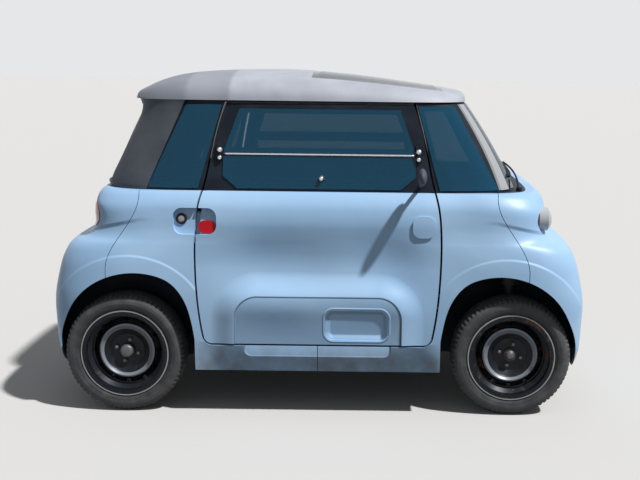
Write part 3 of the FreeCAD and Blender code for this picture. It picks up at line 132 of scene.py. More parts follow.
# Moulded body panels. Through-coloured pale blue plastic, satin with a fine grain, a little chalked by the sun in
# clouds and dusty towards the sill. The same moulding makes both ends.
class Link:
    """A shader value. Adding, subtracting, multiplying or raising one adds its Math node."""

    def __init__(self, tree, socket):
        self.tree = tree
        self.socket = socket

    def math(self, operation, *others):
        """Result of a Math node on this value and any others."""
        node = self.tree.nodes.new("ShaderNodeMath")
        node.operation = operation
        for socket, value in zip(node.inputs, (self, *others)):
            feed(self.tree, socket, value)
        return Link(self.tree, node.outputs[0])

    def __add__(self, other):
        return self.math("ADD", other)

    def __sub__(self, other):
        return self.math("SUBTRACT", other)

    def __mul__(self, other):
        return self.math("MULTIPLY", other)

    def __rsub__(self, other):
        return self * -1 + other

    def __pow__(self, other):
        return self.math("POWER", other)

    __radd__ = __add__

    def above(self, other):
        """The larger of two."""
        return self.math("MAXIMUM", other)

    def size(self):
        """Distance from zero."""
        return self.math("ABSOLUTE")

    def step(self, low, high):
        """0 below low, 1 above high and a smooth step between."""
        node = self.tree.nodes.new("ShaderNodeMapRange")
        node.interpolation_type = "SMOOTHSTEP"
        feed(self.tree, node.inputs["Value"], self)
        node.inputs["From Min"].default_value = low
        node.inputs["From Max"].default_value = high
        return Link(self.tree, node.outputs["Result"])


def feed(tree, socket, value):
    """Link or set one input of a node."""
    if isinstance(value, Link):
        tree.links.new(value.socket, socket)
    elif socket.type == "RGBA":
        socket.default_value = (*value[:3], 1)
    else:
        socket.default_value = value


class Finish:
    """A material whose surface is written as formulas on object coordinates."""

    def __init__(self, name, colour, roughness, metallic=0.0, coat=0.0, alpha=1.0):
        self.material = bpy.data.materials.new(name)
        self.material.use_nodes = True
        self.tree = self.material.node_tree
        self.shader = self.tree.nodes["Principled BSDF"]
        self.put("Base Color", colour)
        self.put("Roughness", roughness)
        self.put("Metallic", metallic)
        self.put("Coat Weight", coat)
        self.put("Alpha", alpha)
        self.coordinates = Link(self.tree, self.node("ShaderNodeTexCoord").outputs["Object"])

    def node(self, kind, **values):
        """Any node, with the values or links of its sockets."""
        node = self.tree.nodes.new(kind)
        for key, value in values.items():
            feed(self.tree, node.inputs[key.replace("_", " ")], value)
        return node

    def put(self, socket, value):
        """Link or set one input of the surface's shader."""
        feed(self.tree, self.shader.inputs[socket], value)

    def noise(self, scale, detail=3.0):
        """Cloudy value about a half."""
        made = self.node("ShaderNodeTexNoise", Vector=self.coordinates, Scale=scale, Detail=detail)
        return Link(self.tree, made.outputs[0])

    def axis(self, letter):
        """One object coordinate in metres."""
        made = self.node("ShaderNodeSeparateXYZ", Vector=self.coordinates)
        return Link(self.tree, made.outputs[letter])

    def mix(self, first, second, share):
        """Colour between two, by a share."""
        made = self.node("ShaderNodeMix")
        made.data_type = "RGBA"
        feed(self.tree, made.inputs["Factor"], share)
        feed(self.tree, made.inputs[6], first)
        feed(self.tree, made.inputs[7], second)
        return Link(self.tree, made.outputs[2])

    def bump(self, height, depth):
        """Relief of the given depth in metres."""
        made = self.node("ShaderNodeBump", Height=height, Distance=depth, Strength=1.0)
        self.put("Normal", Link(self.tree, made.outputs[0]))


def dress(finish, *names):
    """Give solids their finish."""
    for name in names:
        nodes[name].data.materials.clear()
        nodes[name].data.materials.append(finish.material)


def away(u, v):
    """Length of a plane vector."""
    return (u * u + v * v) ** 0.5


def body_finish(name):
    """The moulding's own finish, with its chalked colour and its cloud of wear."""
    finish = Finish(name, PANEL_BLUE, 0.38)
    finish.put("Specular IOR Level", 0.35)
    cloud = finish.noise(2.6)
    return finish, finish.mix(PANEL_BLUE, PANEL_CHALK, cloud.step(0.35, 0.7)), cloud


PANEL_BLUE = (0.275, 0.445, 0.665)
PANEL_CHALK = (0.32, 0.49, 0.70)
DUST = (0.16, 0.16, 0.15)
GRAIN_DEPTH = 0.00006
panel, aged, cloud = body_finish("panel_plastic")
x, y, z = (panel.axis(letter) for letter in "XYZ")
splash = (1 - z.step(0.24, 0.36)) * panel.noise(14, 6).step(0.20, 0.75) * 0.6
panel.put("Base Color", panel.mix(aged, DUST, splash))
panel.put("Roughness", 0.36 + cloud * 0.1 + splash * 0.5)
# The relief of the sides in metres: a flare inside each arch's crease, a lamp tube that dies out along the side, a
# sill that tucks under with a scallop below the door, and the shoulder that turns in under the belt line.
on_side = y.size().step(0.50, 0.58)
end = x.size()
from_arch = away(end - 0.830, z - 0.345)
flare = (1 - from_arch.step(0.365, 0.378)) * z.step(0.44, 0.58) * 0.0035
tube_edge = z + (end - 0.78).above(0) * 0.25 - 0.872
tube = tube_edge.step(-0.012, 0.010) * (1 - z.step(0.90, 0.97)) * end.step(0.68, 0.95) * 0.008
tuck = (z - 0.335) * (1 - z.step(0.325, 0.345)) * (1 - end.step(0.42, 0.56)) * 0.30
scallop_edge = away((end - 0.290).above(0), (0.305 - z).above(0)) - 0.030
scallop = (1 - scallop_edge.step(-0.004, 0.004)) * (z - 0.270).above(0) * 0.36
shoulder = z.step(0.84, 1.02) * 0.016
relief = flare + tube + tuck - scallop - shoulder
panel.bump(relief * on_side + panel.noise(900, 2) * GRAIN_DEPTH, 1.0)
dress(panel, "front_end_panel", "rear_end_panel")
dress(panel, "front_wing_left", "front_wing_right", "rear_wing_left", "rear_wing_right")


# Door skins. The same moulding draws in under its shoulder and swells out again to a skirt round a flat pad with
# round corners, and the pocket in the pad has a raised rim. The surface has the forms and the relief shades them.
PAD_HALF_LENGTH = 0.265
PAD_HEIGHT = 0.441
PAD_CORNER = 0.100
PAD_TOP = PAD_HEIGHT + PAD_CORNER
PAD_STEP = (-0.005, 0.005)
SKIRT_STEP = (-0.010, 0.105)
HOLLOW_STEP = (0.66, 0.90)
door, aged, cloud = body_finish("door_plastic")
door.put("Base Color", aged)
door.put("Roughness", 0.36 + cloud * 0.1)
x, z = door.axis("X"), door.axis("Z")
outside = away((x.size() - PAD_HALF_LENGTH).above(0), (z - PAD_HEIGHT).above(0)) - PAD_CORNER
skirt = (1 - outside.step(*SKIRT_STEP)) * 0.027
pad = (1 - outside.step(*PAD_STEP)) * ((PAD_TOP - z) * 0.13 + 0.005)
hollow = (1 - z.step(*HOLLOW_STEP)) * 0.018
shoulder = z.step(0.84, 1.02) * 0.022
# The pocket lies ahead of the middle on the right door and behind it on the left one.
along = x * door.axis("Y").math("SIGN") + 0.170
pocket = away((along.size() - 0.0995).above(0), ((z - 0.417).size() - 0.030).above(0)) - 0.038
bevel = pocket.step(-0.024, -0.001) * 0.014
rim = pocket.step(0.001, 0.006) * (1 - pocket.step(0.008, 0.014)) * 0.0025
door.bump(skirt - pad - hollow - shoulder + bevel + rim + door.noise(900, 2) * GRAIN_DEPTH, 1.0)


def eased(value, low, high):
    """0 below low, 1 above high and a smooth step between."""
    share = np.clip((value - low) / (high - low), 0, 1)
    return share * share * (3 - 2 * share)


def pad_distance(x, z):
    """Distance outside the round-cornered outline of the pad."""
    return np.hypot(np.maximum(np.abs(x) - PAD_HALF_LENGTH, 0), np.maximum(z - PAD_HEIGHT, 0)) - PAD_CORNER


def door_form(x, z):
    """How far the skin stands out: the skirt, less the hollow under the shoulder and the inset of the pad."""
    outside = pad_distance(x, z)
    middle = 1 - eased(np.abs(x), 0.40, 0.50)
    skirt = 0.016 * (1 - eased(outside, *SKIRT_STEP))
    hollow = 0.009 * (1 - eased(z, *HOLLOW_STEP)) * middle
    pad = (0.004 + 0.020 * (PAD_TOP - z)) * (1 - eased(outside, *PAD_STEP))
    return skirt - hollow - pad


def read_vectors(source, field, width=3):
    """One row of numbers for each member of a mesh's collection."""
    values = np.empty(width * len(source))
    source.foreach_get(field, values)
    return values.reshape(-1, width)


def split_finely(mesh, coarse, fine):
    """Copy of a solid's mesh with its edges halved until short, finest round the pad, and its blended normals."""
    solid = bmesh.new()
    solid.from_mesh(mesh)
    # Splitting blends the values of map layers, so the normals ride along in two of them.
    first, second = solid.loops.layers.uv.new("normal_xy"), solid.loops.layers.uv.new("normal_z")
    corners = [corner for face in solid.faces for corner in face.loops]
    for corner, normal in zip(corners, read_vectors(mesh.corner_normals, "vector")):
        corner[first].uv = normal[:2]
        corner[second].uv = (normal[2], 0)
    bmesh.ops.remove_doubles(solid, verts=solid.verts, dist=MERGE_DISTANCE)
    for _ in range(MOST_HALVINGS):
        edges = list(solid.edges)
        ends = np.array([(*edge.verts[0].co, *edge.verts[1].co) for edge in edges]).reshape(-1, 2, 3)
        length = np.linalg.norm(ends[:, 0] - ends[:, 1], axis=1)
        middle = ends.mean(axis=1)
        near = np.abs(pad_distance(middle[:, 0], middle[:, 2])) < PAD_BORDER
        limit = np.where(near & (np.abs(middle[:, 1]) > WITHIN_WALL), fine, coarse)
        long_edges = [edges[at] for at in np.flatnonzero(length > limit)]
        if not long_edges:
            break
        bmesh.ops.subdivide_edges(solid, edges=long_edges, cuts=1)
        bmesh.ops.triangulate(solid, faces=[face for face in solid.faces if len(face.verts) > 3])
    split = bpy.data.meshes.new("split_door")
    solid.to_mesh(split)
    solid.free()
    layers = [read_vectors(split.uv_layers[name].data, "uv", 2) for name in ("normal_xy", "normal_z")]
    kept = np.hstack(layers)[:, :3]
    kept /= np.maximum(np.linalg.norm(kept, axis=1), 0.000001)[:, None]
    for name in ("normal_xy", "normal_z"):
        split.uv_layers.remove(split.uv_layers[name])
    return split, kept


def fit(piece, finish, body):
    """Give a piece its only finish and the body that carries it."""
    piece.data.materials.clear()
    piece.data.materials.append(finish.material)
    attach(piece, body)


MERGE_DISTANCE = 0.00001
MOST_HALVINGS = 8
PAD_BORDER = 0.014
WITHIN_WALL = 0.60
for side, word in ((1, "left"), (-1, "right")):
    split, kept = split_finely(nodes[f"door_panel_{word}"].data, 0.016, 0.006)
    points = read_vectors(split.vertices, "co")
    points[:, 1] += side * door_form(points[:, 0], points[:, 2])
    split.vertices.foreach_set("co", points.ravel())
    split.polygons.foreach_set("use_smooth", np.ones(len(split.polygons), bool))
    split.normals_split_custom_set(kept.tolist())
    split.update()
    piece = placed(f"door_skin_{word}", split)
    fit(piece, door, f"door_{word}")
    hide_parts(f"door_panel_{word}")


# Roof and rear pillar covers. The roof is satin grey plastic, with painted shade that darkens it in two steps towards
# its rear edge. The covers of the rear pillars and the mirrors are darker and coarser grained.
roof = Finish("roof_plastic", (0.33, 0.36, 0.42), 0.5)
weather = roof.noise(5, 5)
pale = roof.mix((0.30, 0.325, 0.385), (0.37, 0.395, 0.455), weather.step(0.35, 0.7))
x = roof.axis("X")
# Painted shade: the rear of the roof is painted darker in two steps.
painted_rear_shade = (1 - x.step(-0.41, -0.385)) * 0.45 + (1 - x.step(-0.61, -0.57)) * 0.25
roof.put("Base Color", roof.mix(pale, (0.10, 0.115, 0.145), painted_rear_shade))
roof.put("Roughness", 0.45 + weather * 0.18)
roof.bump(roof.noise(700, 2), 0.00025)
dress(roof, "roof_shell")
cover = Finish("cover_plastic", (0.06, 0.07, 0.09), 0.55)
cover.put("Base Color", cover.mix((0.050, 0.060, 0.078), (0.075, 0.085, 0.105), cover.noise(6, 4).step(0.35, 0.7)))
cover.put("Specular IOR Level", 0.25)
cover.bump(cover.noise(800, 2), 0.0003)
dress(cover, "rear_pillar_covers", "door_mirror_left", "door_mirror_right")


# Panes and lenses. Tinted sheet in the doors, quarters and ends, near black at their printed edges. Its blue is
# partly the tint and partly a painted reflection of the sky.
glass = Finish("tint_and_sky_reflection_glass", (0.002, 0.066, 0.130), 0.03, alpha=0.62)
glass.put("Specular IOR Level", 0.3)
glass.material.surface_render_method = "BLENDED"
glass.put("Roughness", 0.03 + glass.noise(3, 4) * 0.03)
dress(glass, "quarter_windows", "door_glass_left", "door_glass_right")
screen = Finish("screen_glass", (0.006, 0.055, 0.100), 0.03, alpha=0.62)
screen.material.surface_render_method = "BLENDED"
x, y, z = (screen.axis(letter) for letter in "XYZ")
# The sides of the screens lean in, so their printed edge and the grey moulding beside it follow a sloping line.
inboard = y.size() + (z - 1.005) * 0.245
printed = (1 - z.step(1.028, 1.034)).above(inboard.step(0.470, 0.476))
moulding = inboard.step(0.494, 0.499) * x.step(0, 0.1)
# The blue of the screens is partly tint and partly painted sky reflection, turning black at the print.
tint_and_sky_reflection = screen.mix((0.006, 0.055, 0.100), (0.006, 0.007, 0.009), printed)
screen.put("Base Color", screen.mix(tint_and_sky_reflection, (0.30, 0.315, 0.34), moulding))
screen.put("Alpha", printed * 0.38 + 0.62)
screen.put("Roughness", moulding * 0.45 + 0.03)
dress(screen, "windscreen", "rear_window")
hatch = Finish("roof_glass_sheet", (0.02, 0.03, 0.04), 0.05, alpha=0.8)
hatch.material.surface_render_method = "BLENDED"
x, y = hatch.axis("X"), hatch.axis("Y")
printed = y.size().step(0.368, 0.372) + (x - 0.250).size().step(0.266, 0.270)
hatch.put("Base Color", hatch.mix((0.02, 0.045, 0.07), (0.008, 0.009, 0.011), printed))
hatch.put("Alpha", printed.step(0, 1) * 0.25 + 0.75)
dress(hatch, "roof_glass")
# Each lamp is a ribbed bright bowl and its bulb behind a dome, in a dark ring. The tail lamps are the same in red.
LAMP_Y, LAMP_Z = 0.536, 0.878
RIBS = 620
RIB_DEPTH = 0.0003
RING_BLACK = (0.03, 0.032, 0.036)
lens = Finish("lamp_lens", (0.78, 0.82, 0.86), 0.05, coat=0.4)
from_beam = away(lens.axis("Y").size() - LAMP_Y, lens.axis("Z") - LAMP_Z)
bowl = lens.mix((0.80, 0.82, 0.84), (0.38, 0.40, 0.43), from_beam.step(0.006, 0.034))
ring = from_beam.step(0.043, 0.045) * (1 - lens.axis("X").size().step(0.970, 0.974))
lens.put("Base Color", lens.mix(bowl, RING_BLACK, ring))
lens.bump((from_beam * RIBS).math("SINE") * RIB_DEPTH, 1.0)
dress(lens, "headlamps")
red_lens = Finish("red_lens", (0.42, 0.012, 0.012), 0.08, coat=0.5)
from_beam = away(red_lens.axis("Y").size() - LAMP_Y, red_lens.axis("Z") - LAMP_Z)
glow = red_lens.mix((0.42, 0.012, 0.014), (0.20, 0.006, 0.008), from_beam.step(0.008, 0.034))
ring = from_beam.step(0.046, 0.048) * (1 - red_lens.axis("X").size().step(0.962, 0.966))
red_lens.put("Base Color", red_lens.mix(glow, RING_BLACK, ring))
red_lens.bump((from_beam * RIBS).math("SINE") * RIB_DEPTH, 1.0)
dress(red_lens, "tail_lamps")


# Black mouldings, housings and pan. Grained black plastic and pressed black sheet.
trim = Finish("black_moulding", (0.010, 0.014, 0.022), 0.5)
trim.put("Specular IOR Level", 0.12)
trim.put("Base Color", trim.mix((0.008, 0.012, 0.020), (0.016, 0.022, 0.034), trim.noise(9, 4).step(0.35, 0.7)))
trim.bump(trim.noise(650, 2), 0.0003)
dress(
    trim,
    "pillar_frame",
    "door_frame_left",
    "door_frame_right",
    "scuttle_panel",
    "floor_pan",
    "wheel_housings",
    "dashboard",
    "steering_column",
    "steering_wheel",
    "seat_shells",
)
pull = Finish("red_pull", (0.50, 0.006, 0.016), 0.4)
pull.put("Specular IOR Level", 0.25)
pull.bump(pull.noise(500, 2), 0.0002)
dress(pull, "door_pull_left", "door_pull_right")


# Wheels and running gear. Black stoved steel, worn to rust on flange and barrel.
AXLE_X, AXLE_Z = 0.860, 0.267
RUST = (0.16, 0.065, 0.028)
steel = Finish("black_steel", (0.008, 0.010, 0.014), 0.42, metallic=0.25)
grime = steel.noise(38, 8)
patch = steel.noise(11, 4)
x, z = steel.axis("X"), steel.axis("Z")
# The front wheels are the rustier ones.
worn = grime.step(0.52, 0.66) * patch.step(0.42, 0.6) * (x.step(-0.1, 0.1) * 0.8 + 0.2)
paint = steel.mix((0.006, 0.009, 0.014), RUST, worn * 0.6)
from_axle = away(x.size() - AXLE_X, z - AXLE_Z)
# Painted highlight: a pale ring round the flange's edge, mottled by the grime noise.
flange_highlight = from_axle.step(0.1890, 0.1905)
# Painted light: the ring of the dish is painted a pale blue-grey on the black steel.
painted_dish_light = from_axle.step(0.100, 0.104) * (1 - from_axle.step(0.122, 0.126))
paint = steel.mix(paint, (0.24, 0.27, 0.31), painted_dish_light * 0.9)
steel.put("Base Color", steel.mix(paint, (0.42, 0.42, 0.42), flange_highlight * (0.5 + grime * 0.5)))
steel.put("Roughness", 0.38 + worn * 0.4)
# The dish wall faces the axle, and its outer edge drops to the slots.
wall = from_axle.step(0.097, 0.124) * (1 - from_axle.step(0.124, 0.129)) * 0.016
steel.bump(wall + grime * 0.0004, 1.0)
steel.put("Specular IOR Level", 0.25)
dress(steel, *[f"wheel_{end}_{side}" for end in ("front", "rear") for side in ("left", "right")])
chassis = Finish("chassis_paint", (0.03, 0.03, 0.032), 0.6, metallic=0.2)
dirt = chassis.noise(22, 7)
chassis.put("Base Color", chassis.mix((0.028, 0.028, 0.03), (0.11, 0.09, 0.07), dirt.step(0.5, 0.72) * 0.6))
chassis.put("Roughness", 0.5 + dirt * 0.3)
chassis.bump(dirt, 0.0005)
dress(chassis, "front_suspension", "strut_mounts", "rear_axle", "knuckle_left", "knuckle_right", "battery_pack")
alloy = Finish("cast_alloy", (0.36, 0.37, 0.39), 0.5, metallic=0.85)
alloy.bump(alloy.noise(160, 5), 0.0004)
dress(alloy, "drive_motor")


# Tyres. Moulded rubber with a ribbed tread of three grooves, cross cuts in the shoulders, a bead rim beside
# the flange and a rounded sidewall, grey with road dust and with painted light that lightens its outer part.
rubber = Finish("tyre_rubber", (0.026, 0.028, 0.032), 0.75)
road = rubber.noise(24, 7)
x, z = rubber.axis("X"), rubber.axis("Z")
from_axle = away(x.size() - AXLE_X, z - AXLE_Z)
# Road dust in patches, and painted light that lightens the sidewall towards its outer edge.
dust_and_sidewall_light = road.step(0.38, 0.7) * 0.5 + from_axle.step(0.200, 0.245) * 0.5
rubber.put("Base Color", rubber.mix((0.012, 0.014, 0.018), (0.075, 0.076, 0.080), dust_and_sidewall_light))
rubber.put("Roughness", 0.68 + road * 0.2)
rubber.bump(road, 0.0004)
low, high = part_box("tyre_front_left")
TYRE_RADIUS = (high.z - low.z) / 2
SECTION = np.array(
    [
        (0.1793, 0.0617),
        (0.1955, 0.0617),
        (0.1990, 0.0650),
        (0.2090, 0.0735),
        (TYRE_RADIUS - 0.0400, 0.0774),
        (TYRE_RADIUS - 0.0260, 0.0750),
        (TYRE_RADIUS - 0.0140, 0.0680),
        (TYRE_RADIUS - 0.0060, 0.0590),
        (TYRE_RADIUS - 0.0016, 0.0450),
        (TYRE_RADIUS - 0.0002, 0.0200),
    ]
)
AROUND = 432
ACROSS = 110
BLOCKS = 72
GROOVES = (-0.027, 0, 0.027)
GROOVE_DEPTH = 0.006
CUT_DEPTH = 0.0055


def grid_faces(index):
    """Quads between neighbours in a grid of point numbers."""
    return np.stack([index[:-1, :-1], index[1:, :-1], index[1:, 1:], index[:-1, 1:]], axis=-1).reshape(-1, 4)


def tyre_surface(x, y, z):
    """Section swept round the axle. The radius drops by the depth of each groove and cross cut."""
    profile = np.vstack([SECTION, SECTION[::-1] * (1, -1)])
    run = np.concatenate([[0], np.cumsum(np.linalg.norm(np.diff(profile, axis=0), axis=1))])
    along = np.linspace(0, run[-1], ACROSS)
    radius = np.interp(along, run, profile[:, 0])
    offset = np.interp(along, run, profile[:, 1])
    angle = np.linspace(0, 2 * np.pi, AROUND, endpoint=False)
    tread = np.clip((radius - TYRE_RADIUS + 0.0065) / 0.002, 0, 1)
    groove = sum(np.exp(-(((offset - at) / 0.0034) ** 4)) for at in GROOVES)
    cut = (np.mod(angle * BLOCKS / (2 * np.pi), 1) < 0.17).astype(float)
    shoulder = np.clip((np.abs(offset) - 0.036) / 0.004, 0, 1) * np.clip((radius - TYRE_RADIUS + 0.015) / 0.004, 0, 1)
    depth = GROOVE_DEPTH * tread * np.clip(groove, 0, 1)
    grid = radius[None, :] - np.maximum(depth[None, :], CUT_DEPTH * cut[:, None] * shoulder[None, :])
    points = np.stack(
        [
            x + grid * np.cos(angle)[:, None],
            y + np.broadcast_to(offset, grid.shape),
            z + grid * np.sin(angle)[:, None],
        ],
        axis=-1,
    )
    index = np.arange(AROUND * ACROSS).reshape(AROUND, ACROSS)
    return points.reshape(-1, 3), grid_faces(np.pad(index, ((0, 1), (0, 1)), mode="wrap").T)


for end in ("front", "rear"):
    for side in ("left", "right"):
        name = f"tyre_{end}_{side}"
        low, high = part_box(name)
        middle = (low + high) / 2
        points, faces = tyre_surface(middle.x, middle.y, middle.z)
        piece = mesh_piece(f"treaded_{name}", points, faces)
        fit(piece, rubber, f"wheel_{end}_{side}")
        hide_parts(name)


# Wheel hardware. Each wheel has four domed bolts on a 100 mm circle, a rubber valve, and over the hub a pressed
# cap at the rear and a nut in a ring at the front.
def turned_piece(name, profile, centre, way, count=48):
    """Profile of (distance along the axis, radius) pairs turned round an axis along Y that points one way."""
    profile = np.asarray(profile, float)
    angle = np.linspace(0, 2 * np.pi, count, endpoint=False)
    along = np.broadcast_to(profile[:, 0] * way, (count, len(profile)))
    points = np.stack(
        [
            centre[0] + np.outer(np.cos(angle), profile[:, 1]),
            centre[1] + along,
            centre[2] + np.outer(np.sin(angle), profile[:, 1]),
        ],
        axis=-1,
    )
    index = np.arange(count * len(profile)).reshape(count, -1)
    return mesh_piece(name, points.reshape(-1, 3), grid_faces(np.pad(index, ((0, 1), (0, 0)), mode="wrap")))


def line_hit(name, start, way):
    """Where a line first meets a solid, with the surface's normal there."""
    found, place, normal, face = nodes[name].ray_cast(Vector(start), Vector(way))
    if not found:
        raise RuntimeError(f"{name} is not on the line from {start}")
    return np.array(place), np.array(normal)


def side_hit(name, x, z, side):
    """Where a line across the car first meets a solid from outside."""
    return line_hit(name, (x, side * 1.2, z), (0, -side, 0))[0]


zinc = Finish("zinc_bolt", (0.12, 0.13, 0.14), 0.42, metallic=0.6)
spots = zinc.noise(120, 5)
zinc.put("Base Color", zinc.mix((0.12, 0.13, 0.14), RUST, spots.step(0.52, 0.70) * 0.5))
zinc.put("Roughness", 0.35 + spots * 0.3)
zinc.bump(spots, 0.0002)
BOLT = [(-0.002, 0.0105), (0.004, 0.0105), (0.0055, 0.0085), (0.0125, 0.0085), (0.0150, 0.0065), (0.0158, 0.0)]
CAP = [(-0.004, 0.0300), (0.010, 0.0295), (0.0165, 0.0265), (0.0195, 0.0190), (0.0205, 0.0)]
NUT = [(-0.004, 0.0215), (0.006, 0.0215), (0.007, 0.0155), (0.015, 0.0155), (0.0172, 0.0130), (0.0150, 0.0)]
VALVE = [(-0.004, 0.0050), (0.012, 0.0050), (0.014, 0.0035), (0.026, 0.0035), (0.028, 0.0)]
BOLT_CIRCLE = 0.05
VALVE_REACH = 0.104
for end in ("front", "rear"):
    for side, way in (("left", 1), ("right", -1)):
        body = f"wheel_{end}_{side}"
        low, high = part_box(f"tyre_{end}_{side}")
        hub = (low + high) / 2
        face = side_hit(body, hub.x + BOLT_CIRCLE, hub.z, way)[1]
        for k in range(4):
            turn = math.radians(75 + 90 * k)
            spot = (hub.x + BOLT_CIRCLE * math.cos(turn), face, hub.z + BOLT_CIRCLE * math.sin(turn))
            bolt = turned_piece(f"bolt_{k + 1}_{end}_{side}", BOLT, spot, way, 20)
            fit(bolt, zinc, body)
        spindle = (hub.x, face + way * 0.013, hub.z)
        boss = turned_piece(f"hub_{end}_{side}", CAP if end == "rear" else NUT, spindle, way, 48)
        fit(boss, zinc, body)
        spot = (hub.x - VALVE_REACH, hub.y + way * 0.008, hub.z + VALVE_REACH)
        valve = turned_piece(f"valve_{end}_{side}", VALVE, spot, way, 16)
        fit(valve, trim, body)


# Brake shields. A pressed plate stands inboard of each wheel, open at the foot where the lower arm passes. The
# front ones turn with the knuckles.
def sheet_piece(name, points, thickness):
    """Grid of points as a sheet with a wall that lies half on each side."""
    index = np.arange(points.shape[0] * points.shape[1]).reshape(points.shape[:2])
    sheet = mesh_piece(name, points.reshape(-1, 3), grid_faces(index))
    wall = sheet.modifiers.new("wall", "SOLIDIFY")
    wall.thickness = thickness
    wall.offset = 0
    return sheet


SHIELD_HOLE = 0.048
SHIELD_RIM = 0.165
for end in ("front", "rear"):
    for side, way in (("left", 1), ("right", -1)):
        low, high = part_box(f"tyre_{end}_{side}")
        hub = (low + high) / 2
        turn = np.radians(np.linspace(-52, 232, 72))[:, None]
        reach = np.linspace(SHIELD_HOLE, SHIELD_RIM, 12)[None, :]
        share = (reach - SHIELD_HOLE) / (SHIELD_RIM - SHIELD_HOLE)
        inset = 0.055 + 0.006 * np.cos(np.pi * share) + 0 * turn
        points = np.stack([hub.x + reach * np.cos(turn), hub.y - way * inset, hub.z + reach * np.sin(turn)], axis=-1)
        shield = sheet_piece(f"brake_shield_{end}_{side}", points, 0.002)
        fit(shield, chassis, f"knuckle_{side}" if end == "front" else "root")


# Door furniture. A bright rod runs along the joint of the two panes between capped nuts, with a screw below each.
# A turned knob latches the lower pane, and a lock cylinder in a black ring sits in the handle recess.
def bar_along(name, path, out, half_width, half_height, square=2.0, taper=0.0):
    """Superellipse section carried along a path. Its height points along out, and it may thin towards its end."""
    path = np.asarray(path, float)
    tangent = np.gradient(path, axis=0)
    tangent /= np.linalg.norm(tangent, axis=1)[:, None]
    across = np.cross(tangent, np.broadcast_to(np.asarray(out, float), path.shape))
    across /= np.linalg.norm(across, axis=1)[:, None]
    out = np.cross(across, tangent)
    angle = np.linspace(0, 2 * np.pi, BAR_SIDES, endpoint=False)
    wide = np.sign(np.cos(angle)) * np.abs(np.cos(angle)) ** (2 / square) * half_width
    high = np.sign(np.sin(angle)) * np.abs(np.sin(angle)) ** (2 / square) * half_height
    size = 1 - taper * np.linspace(0, 1, len(path))
    # The two closing rings shrink to a point, so that both ends are shut.
    path = np.concatenate([path[:1], path, path[-1:]])
    across = np.concatenate([across[:1], across, across[-1:]])
    out = np.concatenate([out[:1], out, out[-1:]])
    size = np.concatenate([[0], size, [0]])
    ring = across[:, None] * wide[None, :, None] + out[:, None] * high[None, :, None]
    points = path[:, None] + ring * size[:, None, None]
    index = np.arange(len(path) * BAR_SIDES).reshape(-1, BAR_SIDES)
    return mesh_piece(name, points.reshape(-1, 3), grid_faces(np.pad(index, ((0, 0), (0, 1)), mode="wrap").T))


BAR_SIDES = 20
bright = Finish("bright_rod", (0.62, 0.63, 0.64), 0.22, metallic=1.0)
bright.put("Roughness", 0.18 + bright.noise(90, 4) * 0.2)
lock_face = Finish("lock_face", (0.30, 0.30, 0.31), 0.35, metallic=0.7)
lock_face.bump(lock_face.noise(300, 3), 0.0001)
KNOB = [(0.0, 0.013), (0.006, 0.013), (0.008, 0.009), (0.016, 0.009), (0.019, 0.006), (0.0195, 0.0)]
RING = [(-0.003, 0.0245), (0.005, 0.0245), (0.0075, 0.0215), (0.0075, 0.0165), (0.004, 0.0150)]
NUT_CAP = [(-0.003, 0.0125), (0.004, 0.0125), (0.006, 0.0105), (0.009, 0.0090), (0.0115, 0.0060), (0.0122, 0.0)]
SCREW = [(-0.003, 0.0090), (0.002, 0.0090), (0.0045, 0.0075), (0.0058, 0.0045), (0.0045, 0.0030), (0.0040, 0.0)]
CYLINDER = [(-0.002, 0.0150), (0.0045, 0.0150), (0.0060, 0.0130), (0.0062, 0.0)]
ROD_LEVEL = 1.155
CLAMPS = (("clamp_nut", 1.172, NUT_CAP), ("clamp_screw", 1.138, SCREW))
RECESS_DEPTH = 0.018
for side, word, turn in ((1, "left", -1), (-1, "right", 1)):
    xs = np.linspace(-0.418, 0.418, 60)
    ys = [side_hit(f"door_frame_{word}", at, ROD_LEVEL, side)[1] + side * 0.0015 for at in xs]
    path = np.stack([xs, ys, np.full(len(xs), ROD_LEVEL)], axis=-1)
    rod = bar_along(f"pane_rod_{word}", path, (0, side, 0), 0.0042, 0.0042)
    fit(rod, bright, f"door_{word}")
    spot = side_hit(f"door_glass_{word}", 0.010 * turn, 1.053, side)
    knob = turned_piece(f"latch_knob_{word}", KNOB, spot, side, 32)
    fit(knob, bright, f"door_{word}")
    for end, at in (("rear", -0.434), ("front", 0.434)):
        for label, level, profile in CLAMPS:
            spot = side_hit(f"door_frame_{word}", at, level, side)
            clamp = turned_piece(f"{label}_{end}_{word}", profile, spot, side, 32)
            fit(clamp, bright, f"door_{word}")
    # A lip on the wing backs the gap between the two halves of the handle recess.
    wing = f"rear_wing_{word}" if turn == 1 else f"front_wing_{word}"
    u, v = np.meshgrid(np.linspace(0, 1, 9), np.linspace(0, 1, 9), indexing="ij")
    level = 0.796 + 0.106 * v
    sunk = RECESS_DEPTH + 0.0010 + 0.0060 * np.clip(u * 1.8, 0, 1)
    skin = np.array([side_hit(wing, -0.555 * turn, at, side)[1] for at in level[0]])
    points = np.stack([(0.055 * u - 0.562) * turn, skin[None, :] - side * sunk, level], axis=-1)
    fit(sheet_piece(f"recess_lip_{word}", points, 0.0025), panel, "root")
    spot = side_hit(wing, -0.598 * turn, 0.874, side)
    fit(turned_piece(f"lock_ring_{word}", RING, spot, side, 40), trim, "root")
    fit(turned_piece(f"lock_cylinder_{word}", CYLINDER, spot, side, 40), lock_face, "root")


